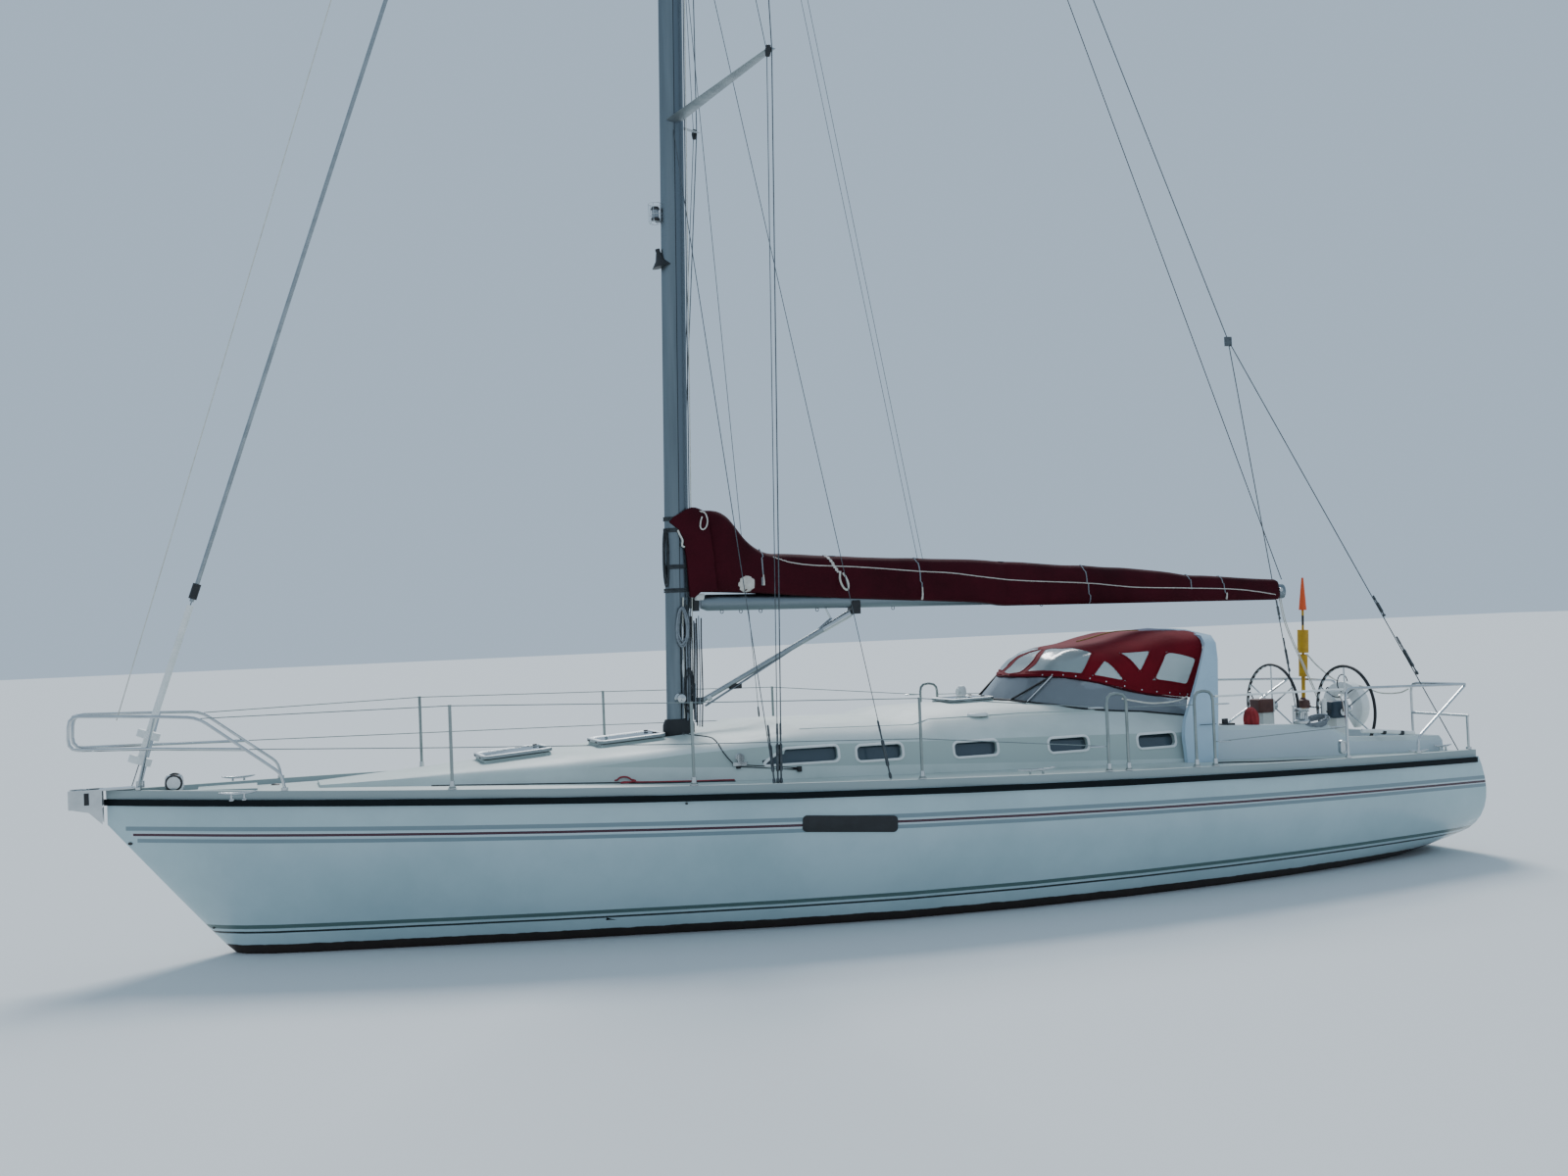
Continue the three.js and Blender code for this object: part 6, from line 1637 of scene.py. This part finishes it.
coamingForm = {
    # winch: x, half width; ribs' radius and heights; crown's height, radius and height
    "winch": (4.14, 1.0), "ribs": 16, "ribOut": 0.052, "ribHigh": (1.315, 1.375), "crownHigh": 1.383,
    "crown": ((0.050, 0), (0.068, 0.002), (0.070, 0.008), (0.058, 0.012), (0.058, 0.016), (0.070, 0.020),
              (0.068, 0.026), (0.030, 0.030), (0, 0.030)),
    # line clutch's body and lever: x from and to, half width, low, high, cut
    "clutch": ((3.28, 3.42, 0.035, 1.262, 1.325, 0.012), (3.30, 3.36, 0.012, 1.322, 1.368, 0.006)),
    # oval vent in the coaming's side: x, z, half width; share of its size and how far out, edge to middle
    "vent": (4.312, 4.382, 1.005, 1.130), "ventMiddle": (4.347, 1.068), "ventHalf": 1.292,
    "ventRings": ((1, -0.03), (1, 0.0), (0.94, 0.006), (0.74, 0.006), (0.70, 0.0), (0.1, -0.002)),
}


def makeHelmGear(name, side):
    x, half, z, radius = helmForm["wheel"]
    y = side * half
    # leather sewn round the rim: a closed ring, thicker at each stitch
    angle = np.linspace(0, 2 * np.pi, 97)
    ring = np.stack([0 * angle + x, y + radius * np.cos(angle), z + radius * np.sin(angle)], 1)
    thick = helmForm["leather"] + helmForm["stitch"] * np.sin(48 * angle)
    makePiece("wheel_leather_" + name, pipe(ring, thick, 10), "leather", body="wheel_" + name)
    wide, low, high, key = helmForm["cases"][name]
    fore, aft = helmForm["case"]
    case = block((fore, y - wide, low), (aft, y + wide, high), 0.02)
    makePiece("instrument_case_" + name, case, key, bevel=0.012)
    x, out, z = helmForm["discPlace"]
    bar = [(x1, y + side * out1, z1) for x1, out1, z1 in helmForm["bar"]]
    lever = [turned(helmForm["disc"], (x, y + side * out, z), (0, 1, 0), 18),
             pipe(bar, helmForm["barRadius"], 8)]
    makePiece("engine_lever_" + name, outwardAll(lever), "polishedSteel")


def makeCoamingGear(name, side):
    x, half = coamingForm["winch"]
    y, (low, high) = side * half, coamingForm["ribHigh"]
    spots = ringOf(coamingForm["ribOut"], coamingForm["ribs"]) + (x, y)
    winch = [pipe([(*spot, low), (*spot, high)], 0.005, 5) for spot in spots]
    winch.append(turned(coamingForm["crown"], (x, y, coamingForm["crownHigh"]), count=28))
    makePiece("winch_crown_" + name, outwardAll(winch), "polishedSteel")
    clutch = [block((fore, y - wide, low), (aft, y + wide, high), cut)
              for fore, aft, wide, low, high, cut in coamingForm["clutch"]]
    makePiece("line_clutch_" + name, clutch, "blackPlastic", bevel=0.004)
    oval, middle = roundedLoop(*coamingForm["vent"], 0.034, 8), np.array(coamingForm["ventMiddle"])
    rings = []
    for share, out in coamingForm["ventRings"]:
        flat = (oval - middle) * share + middle
        rings.append(np.insert(flat, 1, side * (coamingForm["ventHalf"] + out), 1))
    makePiece("coaming_vent_" + name, outward(skin(rings)), "polishedSteel")


for name, side in bothSides:
    makeHelmGear(name, side)
    makeCoamingGear(name, side)

# Stern gear: white tubes, the danbuoy's bag and webbing
sternForm = {
    # white cylinder beside the port pedestal: place, radius and height; its bracket's corners
    "cylinder": (4.70, -0.60, 1.283),
    "cylinderShape": ((0, 0), (0.022, 0), (0.024, 0.006), (0.024, 0.165), (0.018, 0.174), (0, 0.174)),
    "bracket": ((4.70, -0.63, 1.33), (4.775, -0.57, 1.345), 0.004),
    # tube on the port coaming, held by two straps
    "tube": ((4.740, -1.06, 1.176), (5.030, -1.07, 1.154), (5.317, -1.06, 1.123)), "tubeRadius": 0.019,
    "straps": (4.97, 5.17), "strapHalf": 0.018, "strapRadius": 0.0225,
    # brown bag of line tied round the danbuoy's foot
    "bagPlace": (5.705, 1.042, 1.240),
    "bag": ((0, 0), (0.050, 0.002), (0.068, 0.020), (0.072, 0.060), (0.064, 0.095), (0.030, 0.110),
            (0.024, 0.125), (0, 0.125)),
    # horseshoe buoy: middle and ring radius; webbing round it at three angles, with its reach out and along
    "buoy": (5.635, 0.310, 1.308), "buoyRing": 0.2275, "webAngles": (35, 90, 145), "web": (0.088, 0.062),
}


def makeSternGear():
    white = [turned(sternForm["cylinderShape"], sternForm["cylinder"], count=18),
             pipe(curved(sternForm["tube"], 20), sternForm["tubeRadius"], 12)]
    makePiece("white_tubes", outwardAll(white), "whitePlastic")
    half = sternForm["strapHalf"]
    dark = []
    for x in sternForm["straps"]:
        z = 1.175 - 0.09 * (x - 4.74)
        run = [(x - half, -1.068, z), (x + half, -1.068, z - 0.003)]
        dark.append(pipe(run, sternForm["strapRadius"], 12))
    dark.append(block(*sternForm["bracket"]))
    makePiece("danbuoy_bag", turned(sternForm["bag"], sternForm["bagPlace"], count=24), "brownCase")
    # webbing: ellipses round the horseshoe's limb, square to its ring
    (x, y, z), ring, (out, along) = sternForm["buoy"], sternForm["buoyRing"], sternForm["web"]
    q = np.linspace(0, 2 * np.pi, 25)[:, None]
    for a in np.radians(sternForm["webAngles"]):
        middle = np.array([x, y + ring * math.cos(a) * 0.8, z + ring * math.sin(a)])
        radial = np.array([0, math.cos(a), math.sin(a)])
        dark.append(pipe(middle + radial * out * np.sin(q) + np.array([along, 0, 0]) * np.cos(q), 0.006, 6))
    makePiece("stern_straps", outwardAll(dark), "darkRope")


makeSternGear()

# Red cloth gathered over the forward port winch
coverDrum = {
    "place": (3.605, -1.0, 1.268), "radius": 0.056, "high": 0.185, "rows": 30, "columns": 108,
    # folds at the hem and fine ones all over: how many, how deep
    "folds": (9, 0.10), "fineFolds": (23, 0.03),
    # the winch under it: radius and height
    "winch": ((0, 0), (0.052, 0), (0.052, 0.02), (0.038, 0.04), (0.036, 0.12), (0.044, 0.16), (0, 0.165)),
}


def makeWinchCover():
    # rings of a drawn-in bag: radius falls towards the top, with nine folds that deepen towards the hem
    t = np.linspace(0, 1, coverDrum["rows"])[:, None]
    angle = (np.arange(coverDrum["columns"]) * 2 * np.pi / coverDrum["columns"])[None, :]
    (count, deep), (fineCount, fineDeep) = coverDrum["folds"], coverDrum["fineFolds"]
    body = coverDrum["radius"] * (1 + 0.16 * np.sin(np.pi * t) - 0.30 * t ** 4)
    body = body * np.sqrt(np.clip(1 - t ** 9, 0.0004, 1))
    fold = 1 + deep * (1 - t) ** 0.7 * np.sin(count * angle + 3 * t) + fineDeep * np.sin(fineCount * angle)
    x, y, z = coverDrum["place"]
    points = np.stack([x + body * fold * np.cos(angle), y + body * fold * np.sin(angle),
                       z + coverDrum["high"] * t + 0 * angle], -1)
    cloth = makePiece("winch_cover", outward(skin(points, caps=False)), "redCloth", crease=70)
    thicken(cloth, 0.002, 0)
    base = turned(coverDrum["winch"], coverDrum["place"], count=20)
    makePiece("forward_winch_port", base, "polishedSteel")
    makePiece("forward_winch_starboard", flipped(base), "polishedSteel")


makeWinchCover()
print("stern gear is made")

# Rail fittings
railForm = {
    # stanchions' x and distance in from the hull's side; their bases as radius and height
    "stanchions": (-3.425, -1.699, 0.051, 1.659, 1.842, 2.503, 2.691), "inset": 0.03,
    "base": ((0, 0), (0.034, 0), (0.034, 0.006), (0.020, 0.010), (0.018, 0.060), (0, 0.060)),
    # swages on the wires: x of what they end at, way along the rail, heights; from and to, radii along it
    "ends": ((1.659, -1, (0.51, 0.20)), (2.691, 1, (0.51, 0.20)), (4.133, -1, (0.584, 0.274))),
    "swage": (0.03, 0.17), "swageRadii": (0.004, 0.0065, 0.0065, 0.0065, 0.0065, 0.004),
    # white hose on the upper aft wire: x and height of its ends, radius
    "hose": ((2.712, 0.574), (4.128, 0.595)), "hoseRadius": 0.009,
}


def onRail(x, side, high=0.0):
    return np.array([x, side * (float(halfBeamAt(x)) - railForm["inset"]), float(sheerAt(x)) + high])


def makeRailFittings():
    near, far = railForm["swage"]
    for name, side in bothSides:
        parts = [turned(railForm["base"], onRail(x, side, 0.004), count=16) for x in railForm["stanchions"]]
        for x, way, heights in railForm["ends"]:
            for high in heights:
                run = np.linspace(onRail(x + way * near, side, high), onRail(x + way * far, side, high), 6)
                parts.append(pipe(run, np.array(railForm["swageRadii"]), 8))
        makePiece("rail_fittings_" + name, outwardAll(parts), "polishedSteel")
        (fore, foreHigh), (aft, aftHigh) = railForm["hose"]
        hose = np.linspace(onRail(fore, side, foreHigh), onRail(aft, side, aftHigh), 12)
        makePiece("wire_hose_" + name, pipe(hose, railForm["hoseRadius"], 8), "whitePlastic")


# Foredeck: fillers, the windlass's ribs and gypsies, and the bow fitting's slots, roller and stopper
foreForm = {
    "fillers": ((-4.931, 0.121), (-4.652, 0.238)),
    "filler": ((0, 0), (0.032, 0), (0.034, 0.006), (0.026, 0.012), (0, 0.013)),
    # windlass: x, ribs, their radius and height at the foot and at the top
    "windlass": -5.39, "ribs": 10, "ribEnds": ((0.066, 0.03), (0.060, 0.12)),
    "gypsyOut": 0.10, "gypsyHigh": 0.08,
    "gypsy": ((0, -0.02), (0.062, -0.02), (0.064, -0.012), (0.052, 0), (0.064, 0.012), (0.062, 0.02),
              (0, 0.02)),
    # bow fitting: slot's x, half width and z on both cheeks; roller's groove; chain stopper
    "slot": (-6.02, -5.985, 1.215, 1.305), "slotHalf": 0.083, "rollerPlace": (-6.06, 0, 1.262),
    "roller": ((0.043, -0.05), (0.060, -0.05), (0.062, -0.044), (0.046, -0.02), (0.046, 0.02), (0.062, 0.044),
               (0.060, 0.05), (0.043, 0.05)),
    "stopper": ((-5.66, -0.035, 1.318), (-5.60, 0.035, 1.365), 0.008),
}


def makeForedeck():
    black = [turned(foreForm["filler"], (x, y, float(deckAt(x, y)) - 0.002), count=20)
             for x, y in foreForm["fillers"]]
    x = foreForm["windlass"]
    z = float(deckAt(x, 0))
    low, top = (np.insert(ringOf(radius, foreForm["ribs"]) + (x, 0), 2, z + high, 1)
                for radius, high in foreForm["ribEnds"])
    steel = [pipe([foot, head], 0.005, 5) for foot, head in zip(low, top)]
    for side in (-1, 1):
        place = (x, side * foreForm["gypsyOut"], z + foreForm["gypsyHigh"])
        black.append(turned(foreForm["gypsy"], place, (0, 1, 0), 24))
    fore, aft, foot, head = foreForm["slot"]
    for side in (-1, 1):
        y = side * foreForm["slotHalf"]
        black.append(block((fore, y - 0.004, foot), (aft, y + 0.004, head), 0.003))
    steel.append(turned(foreForm["roller"], foreForm["rollerPlace"], (0, 1, 0), 24))
    steel.append(block(*foreForm["stopper"]))
    makePiece("foredeck_fittings", outwardAll(black), "blackPlastic", bevel=0.001)
    makePiece("windlass_ribs", outwardAll(steel), "polishedSteel")


# Mainsheet, and the small lines moulded into the roof
sheetForm = {
    # two parts from the boom's end down to a base at the edge of the aft bench
    "path": ((4.70, 0, 2.455), (4.766, 0, 2.15), (4.952, 0, 1.731), (5.240, 0, 1.120), (5.300, 0, 1.000)),
    "apart": 0.012, "radius": 0.005, "base": ((5.270, -0.04, 0.96), (5.305, 0.04, 1.030), 0.01),
}
beadForm = {
    # bead where the roof's top meets its shoulder: x from and to, half width; seam at the arch's foot
    "from": -0.62, "to": 2.20, "half": 0.878, "radius": 0.004,
    "seam": (2.90, 3.06, 1.345, 1.350), "seamHalf": 1.262,
}


def makeMainsheet():
    path = curved(sheetForm["path"], 40)
    parts = [pipe(path + (0, side * sheetForm["apart"], 0), sheetForm["radius"], 7) for side in (-1, 1)]
    sheet = makePiece("mainsheet", parts, "whiteRope", body=None)
    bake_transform(sheet)
    makePiece("mainsheet_base", block(*sheetForm["base"]), "dullSteel")


def makeRoofLines():
    x = np.linspace(beadForm["from"], beadForm["to"], 60)
    high = [standingAt(place, beadForm["half"]) + 0.001 for place in x]
    for name, side in bothSides:
        bead = np.stack([x, side * beadForm["half"] + 0 * x, high], 1)
        makePiece("roof_bead_" + name, pipe(bead, beadForm["radius"], 6), "roof")
    fore, aft, low, top = beadForm["seam"]
    half = beadForm["seamHalf"]
    seams = [block((fore, y - 0.006, low), (aft, y + 0.006, top), 0.001) for y in (-half, half)]
    makePiece("arch_seam", seams, "seal")


makeRailFittings()
makeForedeck()
makeMainsheet()
makeRoofLines()
print("foredeck is made")
